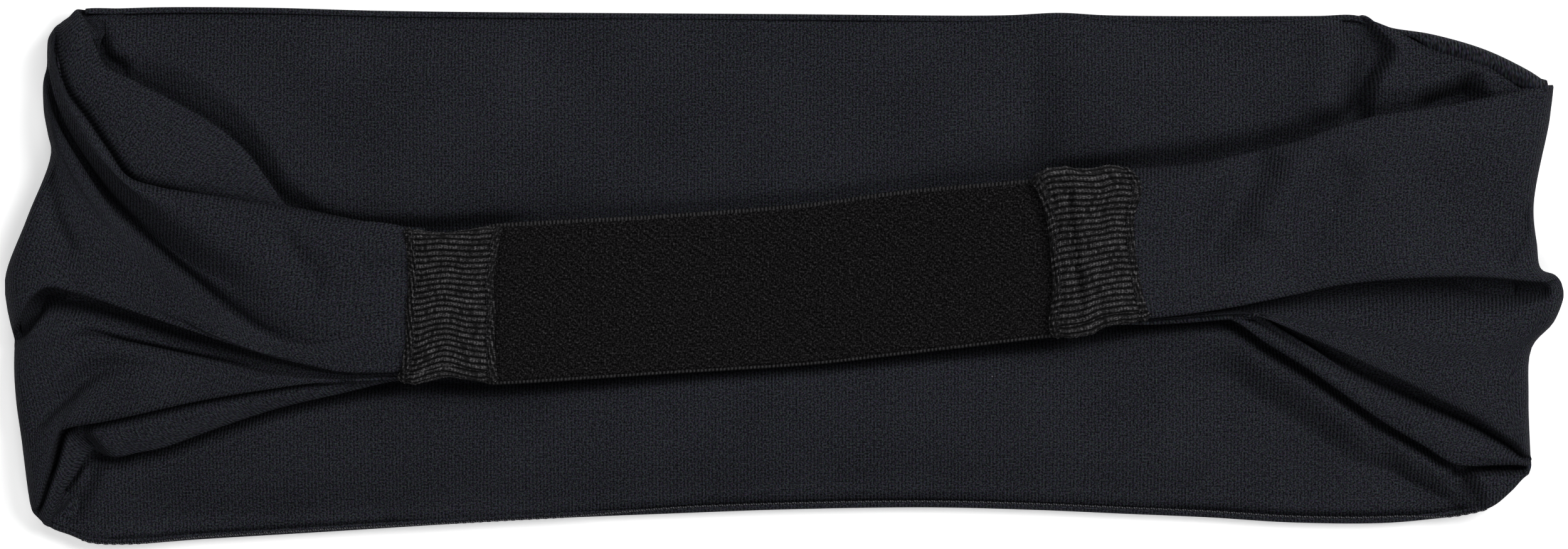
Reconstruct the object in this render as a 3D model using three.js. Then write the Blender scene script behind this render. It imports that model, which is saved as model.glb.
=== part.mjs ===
// A wide stretch sports headband, laid flat: a double-layer knit tube whose two ends are folded over,
// gathered and sewn to a nape elastic, with a ribbed tape cover stitched round each join.
//
// Millimetres, +Z up. X runs along the flattened loop, +Y is the headband's upper (crown) edge, and the
// forehead part lies on the table with its outer face down.
import * as THREE from "three";
import { mergeVertices } from "three/addons/utils/BufferGeometryUtils.js";

// ---- driving dimensions -------------------------------------------------------------------------

const CLOTH = 0.8; // thickness of one layer of knit
const LAYER_GAP = 0.3; // between the tube's two layers, and between pieces that touch
const LAYER_STEP = CLOTH + LAYER_GAP; // depth from the outer layer's face to the inner layer's face

const END_RADIUS = 3.6; // the turned-over end of the flattened tube is twice this thick
const WING_TOP_AT_COVER = 9.9; // height of the gathered cloth where it enters a cover
const PLEAT_DEPTH = 0.6;
const PLEATS = 4;

const PANEL_END = 109; // half length of the forehead panel, up to the turned-over ends

const ELASTIC = { width: 25, neckWidth: 23.2, thickness: 1.5, bottom: 7.7, middle: [-1.2, -2] };
const SEWN_END = { width: 21.6, length: 5.6 }; // the part of the elastic inside each cover
const GATHER = { width: 22, length: 6.6, thickness: 2, bottom: 7.6, waves: 7, waveDepth: 0.35 };

const COVER = { width: 25.4, wall: 0.7, bottom: 6.6, height: 4.4, corner: 1.6 };
const LEFT_COVER = { centre: [-52.8, -4.5], length: 14.8, turn: -0.015 };
const RIGHT_COVER = { centre: [48.7, 3.6], length: 15.8, turn: 0.11 };

const THREAD_RADIUS = 0.2;
const STITCH_LENGTH = 3;
const STITCH_LIFT = 0.18; // the middle of each stitch stands this far above its ends
const STITCH_INSET = 1.6; // from a cover's end to its row of stitches
const JOIN_THREAD_RADIUS = 0.15;
const SEAM_THREAD_RADIUS = 0.3;

// ---- materials ----------------------------------------------------------------------------------

const knit = () => new THREE.MeshStandardMaterial({ color: 0x22232a, roughness: 0.85, metalness: 0 });
const elasticWeave = () => new THREE.MeshStandardMaterial({ color: 0x161516, roughness: 0.95, metalness: 0 });
const ribTape = () => new THREE.MeshStandardMaterial({ color: 0x262527, roughness: 0.9, metalness: 0 });
const thread = () => new THREE.MeshStandardMaterial({ color: 0x1e1f20, roughness: 0.7, metalness: 0 });

// ---- helpers ------------------------------------------------------------------------------------

const lerp = THREE.MathUtils.lerp;
const band = new THREE.Group();

function addPiece(name, geometry, material, parent = band) {
  const piece = new THREE.Mesh(geometry, material);
  piece.name = name;
  parent.add(piece);
  return piece;
}

// A plan-view curve as a function of 0 to 1, from three points that it leaves, bends towards and reaches.
function bentLine(from, towards, to) {
  const curve = new THREE.QuadraticBezierCurve(
    new THREE.Vector2(...from), new THREE.Vector2(...towards), new THREE.Vector2(...to));
  return (t) => curve.getPoint(t);
}

// A plan-view curve through all the points given.
function throughLine(points) {
  const curve = new THREE.SplineCurve(points.map((p) => new THREE.Vector2(...p)));
  return (t) => curve.getPoint(t);
}

// A closed sheet of cloth. pointAt(u, v, depth) is a point at that depth below the sheet's outer face.
function clothSheet(pointAt, depth, stepsU, stepsV) {
  const positions = [];
  const index = [];
  for (const d of [depth, depth + CLOTH])
    for (let i = 0; i <= stepsU; i++)
      for (let j = 0; j <= stepsV; j++) positions.push(...pointAt(i / stepsU, j / stepsV, d));
  const inside = (stepsU + 1) * (stepsV + 1);
  const at = (i, j) => i * (stepsV + 1) + j;
  const quad = (a, b, c, d) => index.push(a, b, c, a, c, d);
  for (let i = 0; i < stepsU; i++)
    for (let j = 0; j < stepsV; j++) {
      quad(at(i, j), at(i + 1, j), at(i + 1, j + 1), at(i, j + 1));
      quad(inside + at(i, j), inside + at(i, j + 1), inside + at(i + 1, j + 1), inside + at(i + 1, j));
    }
  const rim = [];
  for (let i = 0; i < stepsU; i++) rim.push(at(i, 0));
  for (let j = 0; j < stepsV; j++) rim.push(at(stepsU, j));
  for (let i = stepsU; i > 0; i--) rim.push(at(i, stepsV));
  for (let j = stepsV; j > 0; j--) rim.push(at(0, j));
  rim.forEach((a, k) => {
    const b = rim[(k + 1) % rim.length];
    quad(b, a, inside + a, inside + b);
  });
  const geometry = new THREE.BufferGeometry();
  geometry.setAttribute("position", new THREE.Float32BufferAttribute(positions, 3));
  geometry.setIndex(index);
  return facingOut(geometry);
}

// Turns every face round if the closed surface is inside out.
function facingOut(geometry) {
  const p = geometry.getAttribute("position");
  const index = geometry.index.array;
  const corner = (k) => new THREE.Vector3().fromBufferAttribute(p, index[k]);
  let volume = 0;
  for (let k = 0; k < index.length; k += 3) volume += corner(k).dot(corner(k + 1).cross(corner(k + 2)));
  if (volume < 0) for (let k = 0; k < index.length; k += 3) [index[k], index[k + 1]] = [index[k + 1], index[k]];
  return geometry;
}

// A flat plate of the outline given, from bottom up.
function plate(outline, bottom, thickness) {
  const geometry = new THREE.ExtrudeGeometry(outline, { depth: thickness, bevelEnabled: false, curveSegments: 10 });
  return geometry.translate(0, 0, bottom);
}

// A thread along a curve, with a round section.
function threadAlong(curve, radius, steps, sides = 6) {
  const section = new THREE.Shape();
  for (let k = 0; k < sides; k++) {
    const angle = (2 * Math.PI * k) / sides;
    section[k ? "lineTo" : "moveTo"](radius * Math.cos(angle), radius * Math.sin(angle));
  }
  section.closePath();
  return new THREE.ExtrudeGeometry(section, { steps, extrudePath: curve, bevelEnabled: false });
}

// ---- forehead panel: the part of the tube that lies flat ------------------------------------------

const CROWN_EDGE = [[-PANEL_END, 42.4], [-62, 42.1], [0, 41.5], [43, 41.7], [87, 41.4], [PANEL_END, 36.6]];
const BROW_EDGE = [[PANEL_END, -38.2], [90, -39.7], [40, -37.6], [1, -37.5], [-75, -41.2], [-PANEL_END, -43]];

function panelOutline(inset) {
  const outline = new THREE.Shape();
  const moved = (points, sign) => points.map(([x, y]) => new THREE.Vector2(x, y - sign * inset));
  const crown = moved(CROWN_EDGE, 1);
  const brow = moved(BROW_EDGE, -1);
  outline.moveTo(crown[0].x, crown[0].y);
  outline.splineThru(crown.slice(1));
  outline.lineTo(brow[0].x, brow[0].y);
  outline.splineThru(brow.slice(1));
  outline.closePath();
  return outline;
}

const INNER_INSET = 0.9; // the inner layer's edges stop short of the outer layer's, which roll up round them

addPiece("front_outer_layer", plate(panelOutline(0), 0, CLOTH), knit());
addPiece("front_inner_layer", plate(panelOutline(INNER_INSET), LAYER_STEP, CLOTH), knit());

// The thread of the tube's lengthwise seam, in the groove between the two layers' lower edges.
function seamThread() {
  const height = CLOTH + SEAM_THREAD_RADIUS + 0.1;
  const points = BROW_EDGE.map(([x, y]) => new THREE.Vector3(x * 0.995, y + SEAM_THREAD_RADIUS, height));
  return threadAlong(new THREE.CatmullRomCurve3(points), SEAM_THREAD_RADIUS, 24);
}
addPiece("long_seam_thread", seamThread(), thread());

// ---- wings: the folded-over, gathered ends of the tube ---------------------------------------------

// side is -1 for the left wing and 1 for the right one. crown and brow are the wing's two edges in plan,
// from the turned-over end to the cover, and end is the outline of the turned-over end itself.
const WINGS = [
  {
    side: -1,
    name: "left",
    end: throughLine([[-115, 40.5], [-117.3, 25], [-124.5, -1.5], [-122, -20], [-117.5, -41]]),
    crown: bentLine([-115, 40.5], [-92, 16], [-60.5, 7.9]),
    brow: bentLine([-117.5, -41], [-100, -20], [-60.9, -16.6]),
    panelCorners: [42.4, -43],
  },
  {
    side: 1,
    name: "right",
    end: throughLine([[122.5, 30.5], [119.5, 11.5], [124.4, -3], [119.4, -12.5], [118.6, -30.5]]),
    crown: bentLine([122.5, 30.5], [85, 19], [55.7, 17.2]),
    brow: bentLine([118.6, -30.5], [88, -12], [58.5, -7.6]),
    panelCorners: [36.6, -38.2],
  },
];

const SHEET_STEPS = 20; // along a wing
const ACROSS_STEPS = 16;
const UNDER_SHARE = 0.12; // shares of the sheet's length: under the fold, round it, and the rest on top
const TURN_SHARE = 0.3;

// A point of a wing: u runs from the panel, round the turned-over end and up to the cover, v from crown to brow.
function wingPoint(wing, u, v, depth) {
  const end = wing.end(v);
  const turnX = end.x - wing.side * END_RADIUS;
  if (u < UNDER_SHARE) {
    const t = u / UNDER_SHARE;
    const panelX = wing.side * (PANEL_END + LAYER_GAP);
    return [lerp(panelX, turnX, t), lerp(lerp(...wing.panelCorners, v), end.y, t), depth];
  }
  const radius = END_RADIUS - depth;
  if (u < TURN_SHARE) {
    const angle = (Math.PI * (u - UNDER_SHARE)) / (TURN_SHARE - UNDER_SHARE);
    return [turnX + wing.side * radius * Math.sin(angle), end.y, END_RADIUS - radius * Math.cos(angle)];
  }
  const t = (u - TURN_SHARE) / (1 - TURN_SHARE);
  const crown = wing.crown(t);
  const brow = wing.brow(t);
  const bulge = (turnX - lerp(wing.crown(0).x, wing.brow(0).x, v)) * (1 - t) ** 2;
  const dip = (end.y - lerp(wing.crown(0).y, wing.brow(0).y, v)) * (1 - t) ** 2;
  const rise = (WING_TOP_AT_COVER - 2 * END_RADIUS) * THREE.MathUtils.smoothstep(t, 0, 1);
  const pleat = PLEAT_DEPTH * Math.sin(Math.PI * t) * Math.sin(2 * Math.PI * PLEATS * v);
  return [
    lerp(crown.x, brow.x, v) + bulge,
    lerp(crown.y, brow.y, v) + dip,
    2 * END_RADIUS - depth + rise + pleat,
  ];
}

for (const wing of WINGS) {
  const surface = (u, v, depth) => wingPoint(wing, u, v, depth);
  addPiece(`${wing.name}_wing_outer_layer`, clothSheet(surface, 0, SHEET_STEPS, ACROSS_STEPS), knit());
  addPiece(`${wing.name}_wing_inner_layer`, clothSheet(surface, LAYER_STEP, SHEET_STEPS, ACROSS_STEPS), knit());
}

// ---- nape elastic -----------------------------------------------------------------------------------

// The elastic is full width in the middle, a little narrower where the covers grip it.
function elasticOutline() {
  const left = LEFT_COVER.centre[0] + LEFT_COVER.length / 2 - 0.4;
  const right = RIGHT_COVER.centre[0] - RIGHT_COVER.length / 2 + 0.4;
  const leftY = LEFT_COVER.centre[1];
  const rightY = RIGHT_COVER.centre[1] - Math.sin(RIGHT_COVER.turn) * (RIGHT_COVER.length / 2);
  const end = SEWN_END.width / 2;
  const edge = (sign) => [
    new THREE.Vector2(left, leftY + (sign * ELASTIC.neckWidth) / 2),
    new THREE.Vector2(ELASTIC.middle[0], ELASTIC.middle[1] + (sign * ELASTIC.width) / 2),
    new THREE.Vector2(right, rightY + (sign * ELASTIC.neckWidth) / 2),
  ];
  const outline = new THREE.Shape();
  outline.moveTo(left - SEWN_END.length, leftY + end);
  outline.lineTo(left - 0.5, leftY + end);
  outline.lineTo(left, edge(1)[0].y);
  outline.splineThru(edge(1).slice(1));
  outline.lineTo(right + 0.5, rightY + end);
  outline.lineTo(right + SEWN_END.length, rightY + end);
  outline.lineTo(right + SEWN_END.length, rightY - end);
  outline.lineTo(right + 0.5, rightY - end);
  outline.lineTo(right, edge(-1)[2].y);
  outline.splineThru(edge(-1).reverse().slice(1));
  outline.lineTo(left - 0.5, leftY - end);
  outline.lineTo(left - SEWN_END.length, leftY - end);
  outline.closePath();
  return outline;
}
addPiece("nape_elastic", plate(elasticOutline(), ELASTIC.bottom, ELASTIC.thickness), elasticWeave());

// ---- covers, and what is sewn inside them -------------------------------------------------------------

function roundedRectangle(shape, width, height, corner) {
  const [x, y] = [width / 2, height / 2];
  shape.moveTo(-x + corner, -y);
  shape.lineTo(x - corner, -y);
  shape.absarc(x - corner, -y + corner, corner, -Math.PI / 2, 0);
  shape.lineTo(x, y - corner);
  shape.absarc(x - corner, y - corner, corner, 0, Math.PI / 2);
  shape.lineTo(-x + corner, y);
  shape.absarc(-x + corner, y - corner, corner, Math.PI / 2, Math.PI);
  shape.lineTo(-x, -y + corner);
  shape.absarc(-x + corner, -y + corner, corner, Math.PI, 1.5 * Math.PI);
  return shape;
}

// Extrudes a section drawn in the Y-Z plane along X, centred on X = 0.
function alongX(section, length, curveSegments = 4) {
  const geometry = new THREE.ExtrudeGeometry(section, { depth: length, bevelEnabled: false, curveSegments });
  return geometry.translate(0, 0, -length / 2).rotateX(Math.PI / 2).rotateZ(Math.PI / 2);
}

// The ribbed tape wrapped right round the join, as a flat sleeve.
function coverSleeve(length) {
  const outside = roundedRectangle(new THREE.Shape(), COVER.width, COVER.height, COVER.corner);
  const [width, height] = [COVER.width - 2 * COVER.wall, COVER.height - 2 * COVER.wall];
  outside.holes.push(roundedRectangle(new THREE.Path(), width, height, COVER.corner - COVER.wall));
  return alongX(outside, length).translate(0, 0, COVER.bottom + COVER.height / 2);
}

// The bunched end of the knit tube, corrugated on both faces.
function gatheredEnd() {
  const section = new THREE.Shape();
  const steps = GATHER.waves * 6;
  const wave = (k) => GATHER.waveDepth * Math.sin((2 * Math.PI * GATHER.waves * k) / steps);
  const across = (k) => GATHER.width * (k / steps - 0.5);
  const half = GATHER.thickness / 2 - GATHER.waveDepth;
  section.moveTo(across(0), wave(0) - half);
  for (let k = 1; k <= steps; k++) section.lineTo(across(k), wave(k) - half);
  for (let k = steps; k >= 0; k--) section.lineTo(across(k), wave(k) + half);
  section.closePath();
  return alongX(section, GATHER.length).translate(0, 0, GATHER.bottom + GATHER.thickness / 2);
}

// One row's thread on a face of a cover: it rises and dips a little with each stitch.
function stitchThread(x, height, facing) {
  const half = COVER.width / 2 - 1.3;
  const stitches = Math.round((2 * half) / STITCH_LENGTH);
  const points = [];
  for (let k = 0; k <= 2 * stitches; k++) {
    const lift = k % 2 ? STITCH_LIFT * facing : 0;
    points.push(new THREE.Vector3(x, lerp(-half, half, k / (2 * stitches)), height + lift));
  }
  return threadAlong(new THREE.CatmullRomCurve3(points), THREAD_RADIUS, 3 * stitches);
}

// The zigzag that sews the gathered cloth to the elastic, lying over the place where they meet.
function joinStitching() {
  const turns = 9;
  const half = SEWN_END.width / 2 - 1;
  const points = [];
  for (let k = 0; k <= turns; k++) {
    points.push(new THREE.Vector3(k % 2 ? 1.4 : -1.4, lerp(-half, half, k / turns), 0));
  }
  const height = COVER.bottom + COVER.height - COVER.wall - JOIN_THREAD_RADIUS - 0.15;
  return threadAlong(new THREE.CatmullRomCurve3(points), JOIN_THREAD_RADIUS, 4 * turns).translate(0, 0, height);
}

// towardsElastic is 1 where the elastic lies on the cover's +X side.
function addCover(name, { centre, length, turn }, towardsElastic) {
  const place = new THREE.Group();
  place.position.set(centre[0], centre[1], 0);
  place.rotation.z = turn;
  band.add(place);
  addPiece(`${name}_cover`, coverSleeve(length), ribTape(), place);
  const gather = addPiece(`${name}_gathered_end`, gatheredEnd(), knit(), place);
  gather.position.x = -towardsElastic * (length / 2 - GATHER.length / 2 - 0.2);
  const join = addPiece(`${name}_join_stitching`, joinStitching(), thread(), place);
  join.position.x = -towardsElastic * (length / 2 - GATHER.length - 0.4);
  const top = COVER.bottom + COVER.height + THREAD_RADIUS + 0.05;
  const bottom = COVER.bottom - THREAD_RADIUS - 0.05;
  for (const [row, direction] of [["wing_side", -1], ["elastic_side", 1]]) {
    const x = direction * towardsElastic * (length / 2 - STITCH_INSET);
    addPiece(`${name}_cover_${row}_needle_thread`, stitchThread(x, top, 1), thread(), place);
    addPiece(`${name}_cover_${row}_bobbin_thread`, stitchThread(x, bottom, -1), thread(), place);
  }
}
addCover("left", LEFT_COVER, 1);
addCover("right", RIGHT_COVER, -1);

// Every geometry is reduced to merged positions, so that each piece is one closed surface.
band.traverse((piece) => {
  if (!piece.isMesh) return;
  piece.geometry.deleteAttribute("normal");
  piece.geometry.deleteAttribute("uv");
  piece.geometry = mergeVertices(piece.geometry, 1e-4);
  piece.geometry.computeVertexNormals();
});

// The origin is put at the centre of the footprint.
const extent = new THREE.Box3().setFromObject(band);
const centre = extent.getCenter(new THREE.Vector3());
band.position.set(-centre.x, -centre.y, -extent.min.z);

export default band;
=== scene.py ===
"""A wide stretch-knit sports headband, laid flat on a white table and seen from straight above.

The forehead panel lies on the table. The knit tube turns over at the left and right ends, comes forward
on top as two pleated wings, and each wing is gathered into a rib-knit cover that joins it to the elastic.
Shapes are drawn in millimetres in the frame's own axes and turned into metres when a mesh is made.
"""

import math

import bpy
import numpy as np
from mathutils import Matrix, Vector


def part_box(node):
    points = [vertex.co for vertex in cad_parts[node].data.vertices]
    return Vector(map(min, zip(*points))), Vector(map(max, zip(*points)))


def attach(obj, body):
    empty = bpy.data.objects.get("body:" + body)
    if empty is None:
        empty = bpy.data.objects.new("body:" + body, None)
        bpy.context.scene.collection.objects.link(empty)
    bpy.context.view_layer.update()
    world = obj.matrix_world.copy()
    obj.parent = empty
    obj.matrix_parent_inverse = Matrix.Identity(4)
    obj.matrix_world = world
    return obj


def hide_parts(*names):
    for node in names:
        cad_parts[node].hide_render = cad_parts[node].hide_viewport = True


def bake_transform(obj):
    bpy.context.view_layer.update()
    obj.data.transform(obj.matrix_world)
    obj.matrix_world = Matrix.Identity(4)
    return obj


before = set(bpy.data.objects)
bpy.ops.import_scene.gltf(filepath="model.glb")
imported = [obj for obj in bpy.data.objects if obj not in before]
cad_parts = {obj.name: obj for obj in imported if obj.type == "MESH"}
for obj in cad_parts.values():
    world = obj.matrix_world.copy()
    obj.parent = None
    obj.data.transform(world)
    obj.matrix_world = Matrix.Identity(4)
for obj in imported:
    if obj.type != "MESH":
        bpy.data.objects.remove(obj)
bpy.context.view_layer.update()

MM = 0.001
TURN = 2 * math.pi
INNER_CLOTH = 0.7  # thickness of the panel's inner layer, which is seen from above
OUTER_CLOTH = 0.55
WING_OUTER_CLOTH = 0.45  # the wings' layers are pulled thinner
WING_INNER_CLOTH = 0.4
LAYER_STEP = 1.1  # from the outer layer's face to the inner layer's
WALE = 0.56  # width of one column of knit stitches
COURSE = 0.52  # length of one knit loop
PANEL_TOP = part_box("front_inner_layer")[1].z / MM
COVER_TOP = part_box("left_cover")[1].z / MM
COVER_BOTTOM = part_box("left_cover")[0].z / MM
ELASTIC_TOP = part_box("nape_elastic")[1].z / MM
END_HEIGHT = 3.5  # height of the outermost line of a turned-over end


# ---- curves and grids ----


def smooth_through(points, steps):
    """Points along smooth curves through the given ones. points is (curves, knots, 3), and steps holds
    the number of pieces in each gap between knots. Centripetal Catmull-Rom, so it doesn't loop."""
    first = 2 * points[:, :1] - points[:, 1:2]
    last = 2 * points[:, -1:] - points[:, -2:-1]
    p = np.concatenate([first, points, last], axis=1)
    gap = np.maximum(np.linalg.norm(np.diff(p, axis=1), axis=2), 1e-4) ** 0.5
    found = []
    for k, count in enumerate(steps):
        p0, p1, p2, p3 = (p[:, k + i] for i in range(4))
        t1 = gap[:, k, None]
        t2 = t1 + gap[:, k + 1, None]
        t3 = t2 + gap[:, k + 2, None]
        for i in range(count):
            t = t1 + (t2 - t1) * i / count
            a1 = (t1 - t) / t1 * p0 + t / t1 * p1
            a2 = (t2 - t) / (t2 - t1) * p1 + (t - t1) / (t2 - t1) * p2
            a3 = (t3 - t) / (t3 - t2) * p2 + (t - t2) / (t3 - t2) * p3
            b1 = (t2 - t) / t2 * a1 + t / t2 * a2
            b2 = (t3 - t) / (t3 - t1) * a2 + (t - t1) / (t3 - t1) * a3
            found.append((t2 - t) / (t2 - t1) * b1 + (t - t1) / (t2 - t1) * b2)
    found.append(points[:, -1])
    return np.stack(found, axis=1)


def smooth_line(points, per_gap=12):
    """One smooth curve through a few points, with per_gap pieces between each two of them."""
    p = np.array(points, float)
    if p.shape[1] == 2:
        p = np.column_stack([p, np.zeros(len(p))])
    return smooth_through(p[None], [per_gap] * (len(p) - 1))[0]


def lengths_along(line):
    """How far along a line each of its points is."""
    return np.concatenate([[0], np.cumsum(np.linalg.norm(np.diff(line, axis=0), axis=1))])


def evenly(line, count):
    """count points evenly spaced along a line."""
    s = lengths_along(line)
    at = np.linspace(0, s[-1], count)
    return np.stack([np.interp(at, s, line[:, i]) for i in range(3)], axis=1)


def height_of_line(points):
    """y as a function of x along a smooth line whose x only grows."""
    line = smooth_line(points, 16)
    return lambda x: np.interp(x, line[:, 0], line[:, 1])


def smoothstep(t):
    t = np.clip(t, 0, 1)
    return t * t * (3 - 2 * t)


def softened(grid, reach, times=1):
    """A grid of points averaged with its neighbours, up to reach rows away each way."""
    for _ in range(times):
        for axis in (0, 1):
            padded = np.concatenate(
                [grid.take([0] * reach, axis), grid, grid.take([-1] * reach, axis)], axis=axis)
            total = np.cumsum(padded, axis=axis)
            zero = np.zeros_like(total.take([0], axis))
            total = np.concatenate([zero, total], axis=axis)
            count = 2 * reach + 1
            n = grid.shape[axis]
            grid = (total.take(range(count, count + n), axis) - total.take(range(n), axis)) / count
    return grid


def lowest_near(heights, reach):
    """Each height replaced by the lowest one within reach rows and columns of it."""
    for axis in (0, 1):
        last = heights.shape[axis] - 1
        places = [np.clip(np.arange(last + 1) + step, 0, last) for step in range(-reach, reach + 1)]
        heights = np.minimum.reduce([np.take(heights, place, axis) for place in places])
    return heights


def unit(vectors):
    """The same directions with a length of 1."""
    return vectors / np.maximum(np.linalg.norm(vectors, axis=-1, keepdims=True), 1e-9)


def normals_of(grid):
    return unit(np.cross(np.gradient(grid, axis=0), np.gradient(grid, axis=1)))


def lumps(x, y, scale, seed):
    """Smooth repeatable noise from -1 to 1, with lumps about scale wide."""
    total = np.zeros(np.broadcast(x, y).shape)
    chance = np.random.default_rng(seed)
    for _ in range(7):
        angle, phase = chance.uniform(0, TURN, 2)
        stretch = chance.uniform(0.7, 1.5) / scale * math.pi
        total = total + np.sin((x * math.cos(angle) + y * math.sin(angle)) * stretch + phase)
    return total / 7


def distance_to(x, y, line):
    """Distance in plan from each point to a line, how far along the line the nearest point is, and
    whether the point lies to the left of the line's direction."""
    best = np.full(x.shape, np.inf)
    at = np.zeros(x.shape)
    left = np.zeros(x.shape, bool)
    s = lengths_along(line)
    for i, (a, b) in enumerate(zip(line[:-1, :2], line[1:, :2])):
        d = b - a
        t = np.clip(((x - a[0]) * d[0] + (y - a[1]) * d[1]) / max(d @ d, 1e-12), 0, 1)
        gap = np.hypot(x - a[0] - t * d[0], y - a[1] - t * d[1])
        nearer = gap < best
        best = np.where(nearer, gap, best)
        at = np.where(nearer, s[i] + t * (s[i + 1] - s[i]), at)
        left = np.where(nearer, d[0] * (y - a[1]) - d[1] * (x - a[0]) > 0, left)
    return best, at / s[-1], left


def fold_in(x, y, points, depth, left_width, right_width=None, fade=0.2):
    """A valley (or a ridge, with a negative depth) along a line, fading out at its two ends. Its two
    sides, left and right of the line's direction, can be of different widths."""
    gap, at, left = distance_to(x, y, smooth_line(points, 6))
    ends = smoothstep(at / fade) * smoothstep((1 - at) / fade)
    width = np.where(left, left_width, right_width or left_width)
    return -depth * np.exp(-((gap / width) ** 2)) * ends


# ---- meshes ----

FLIPPED = [0, 3, 2, 1]  # a cell's corners the other way round


def cells(rows, columns, wrap=False):
    """The four corners of each cell in a grid of points; wrap joins its last column to its first."""
    index = np.arange(rows * columns).reshape(rows, columns)
    if wrap:
        index = np.column_stack([index, index[:, 0]])
    corners = [index[:-1, :-1], index[1:, :-1], index[1:, 1:], index[:-1, 1:]]
    return np.stack(corners, axis=2).reshape(-1, 4)


def joined(ring, under):
    """Faces between a ring of points and the same ring on the back, under points further on."""
    following = np.roll(ring, -1)
    return np.stack([following, ring, under + ring, under + following], axis=1)


def new_object(name, vertices, faces, uvs, material):
    mesh = bpy.data.meshes.new(name)
    mesh.from_pydata((np.asarray(vertices) * MM).tolist(), [], faces)
    layer = mesh.uv_layers.new(name="cloth")
    order = np.zeros(len(mesh.loops), int)
    mesh.loops.foreach_get("vertex_index", order)
    layer.data.foreach_set("uv", np.asarray(uvs, float)[order].ravel())
    mesh.polygons.foreach_set("use_smooth", [True] * len(mesh.polygons))
    mesh.materials.append(material)
    mesh.validate()
    made = bpy.data.objects.new(name, mesh)
    bpy.context.scene.collection.objects.link(made)
    return made


def set_values(thing, name, values):
    """One number for each point of a mesh, for its material to read."""
    thing.data.attributes.new(name, "FLOAT", "POINT").data.foreach_set("value", values)


def closed_sheet(name, face, back, cloth_uv, material):
    """A closed sheet of cloth between two grids of points: the face that is seen and its back."""
    rows, columns = face.shape[:2]
    under = rows * columns
    index = np.arange(under).reshape(rows, columns)
    rim = np.concatenate([index[:, 0], index[-1, 1:], index[-2::-1, -1], index[0, -2:0:-1]])
    seen = cells(rows, columns)
    faces = np.concatenate([seen, under + seen[:, FLIPPED], joined(rim, under)])
    i, j = rows // 2, columns // 2
    turn = np.cross(face[i + 1, j] - face[i, j], face[i, j + 1] - face[i, j])
    if turn @ (face[i, j] - back[i, j]) <= 0:
        faces = faces[:, ::-1]
    vertices = np.concatenate([face.reshape(-1, 3), back.reshape(-1, 3)])
    uvs = np.concatenate([cloth_uv.reshape(-1, 2)] * 2)
    sheet = new_object(name, vertices, faces.tolist(), uvs, material)
    # how far the face leans from flat, which the knit material paints as stronger shade between its wales
    lean = 1 - np.abs(normals_of(face)[..., 2]).ravel()
    set_values(sheet, "lean", np.concatenate([lean, lean]))
    return sheet


def thick_sheet(name, grid, cloth_uv, thickness, material):
    """A closed sheet of cloth: grid is its upper face, and the lower face lies thickness below it."""
    n = unit(softened(normals_of(grid), 1))
    if n[..., 2].mean() < 0:
        n = -n
    return closed_sheet(name, grid, grid - n * thickness, cloth_uv, material)


def tube_along(name, line, radius, sides, material):
    """A round thread along a line, closed at both ends."""
    rows = len(line)
    tangent = unit(np.gradient(line, axis=0))
    side = unit(np.cross(tangent, [0, 0, 1.0]))
    rise = np.cross(side, tangent)
    angle = np.arange(sides) * TURN / sides
    ring = np.cos(angle)[None, :, None] * side[:, None] + np.sin(angle)[None, :, None] * rise[:, None]
    vertices = (line[:, None] + ring * radius).reshape(-1, 3)
    faces = cells(rows, sides, wrap=True)[:, FLIPPED].tolist()
    faces.append(tuple(range(sides))[::-1])
    faces.append(tuple((rows - 1) * sides + j for j in range(sides)))
    uvs = np.stack(np.meshgrid(lengths_along(line), angle * 0.2, indexing="ij"), axis=2).reshape(-1, 2)
    return new_object(name, vertices, faces, uvs, material)


# ---- materials ----


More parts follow.
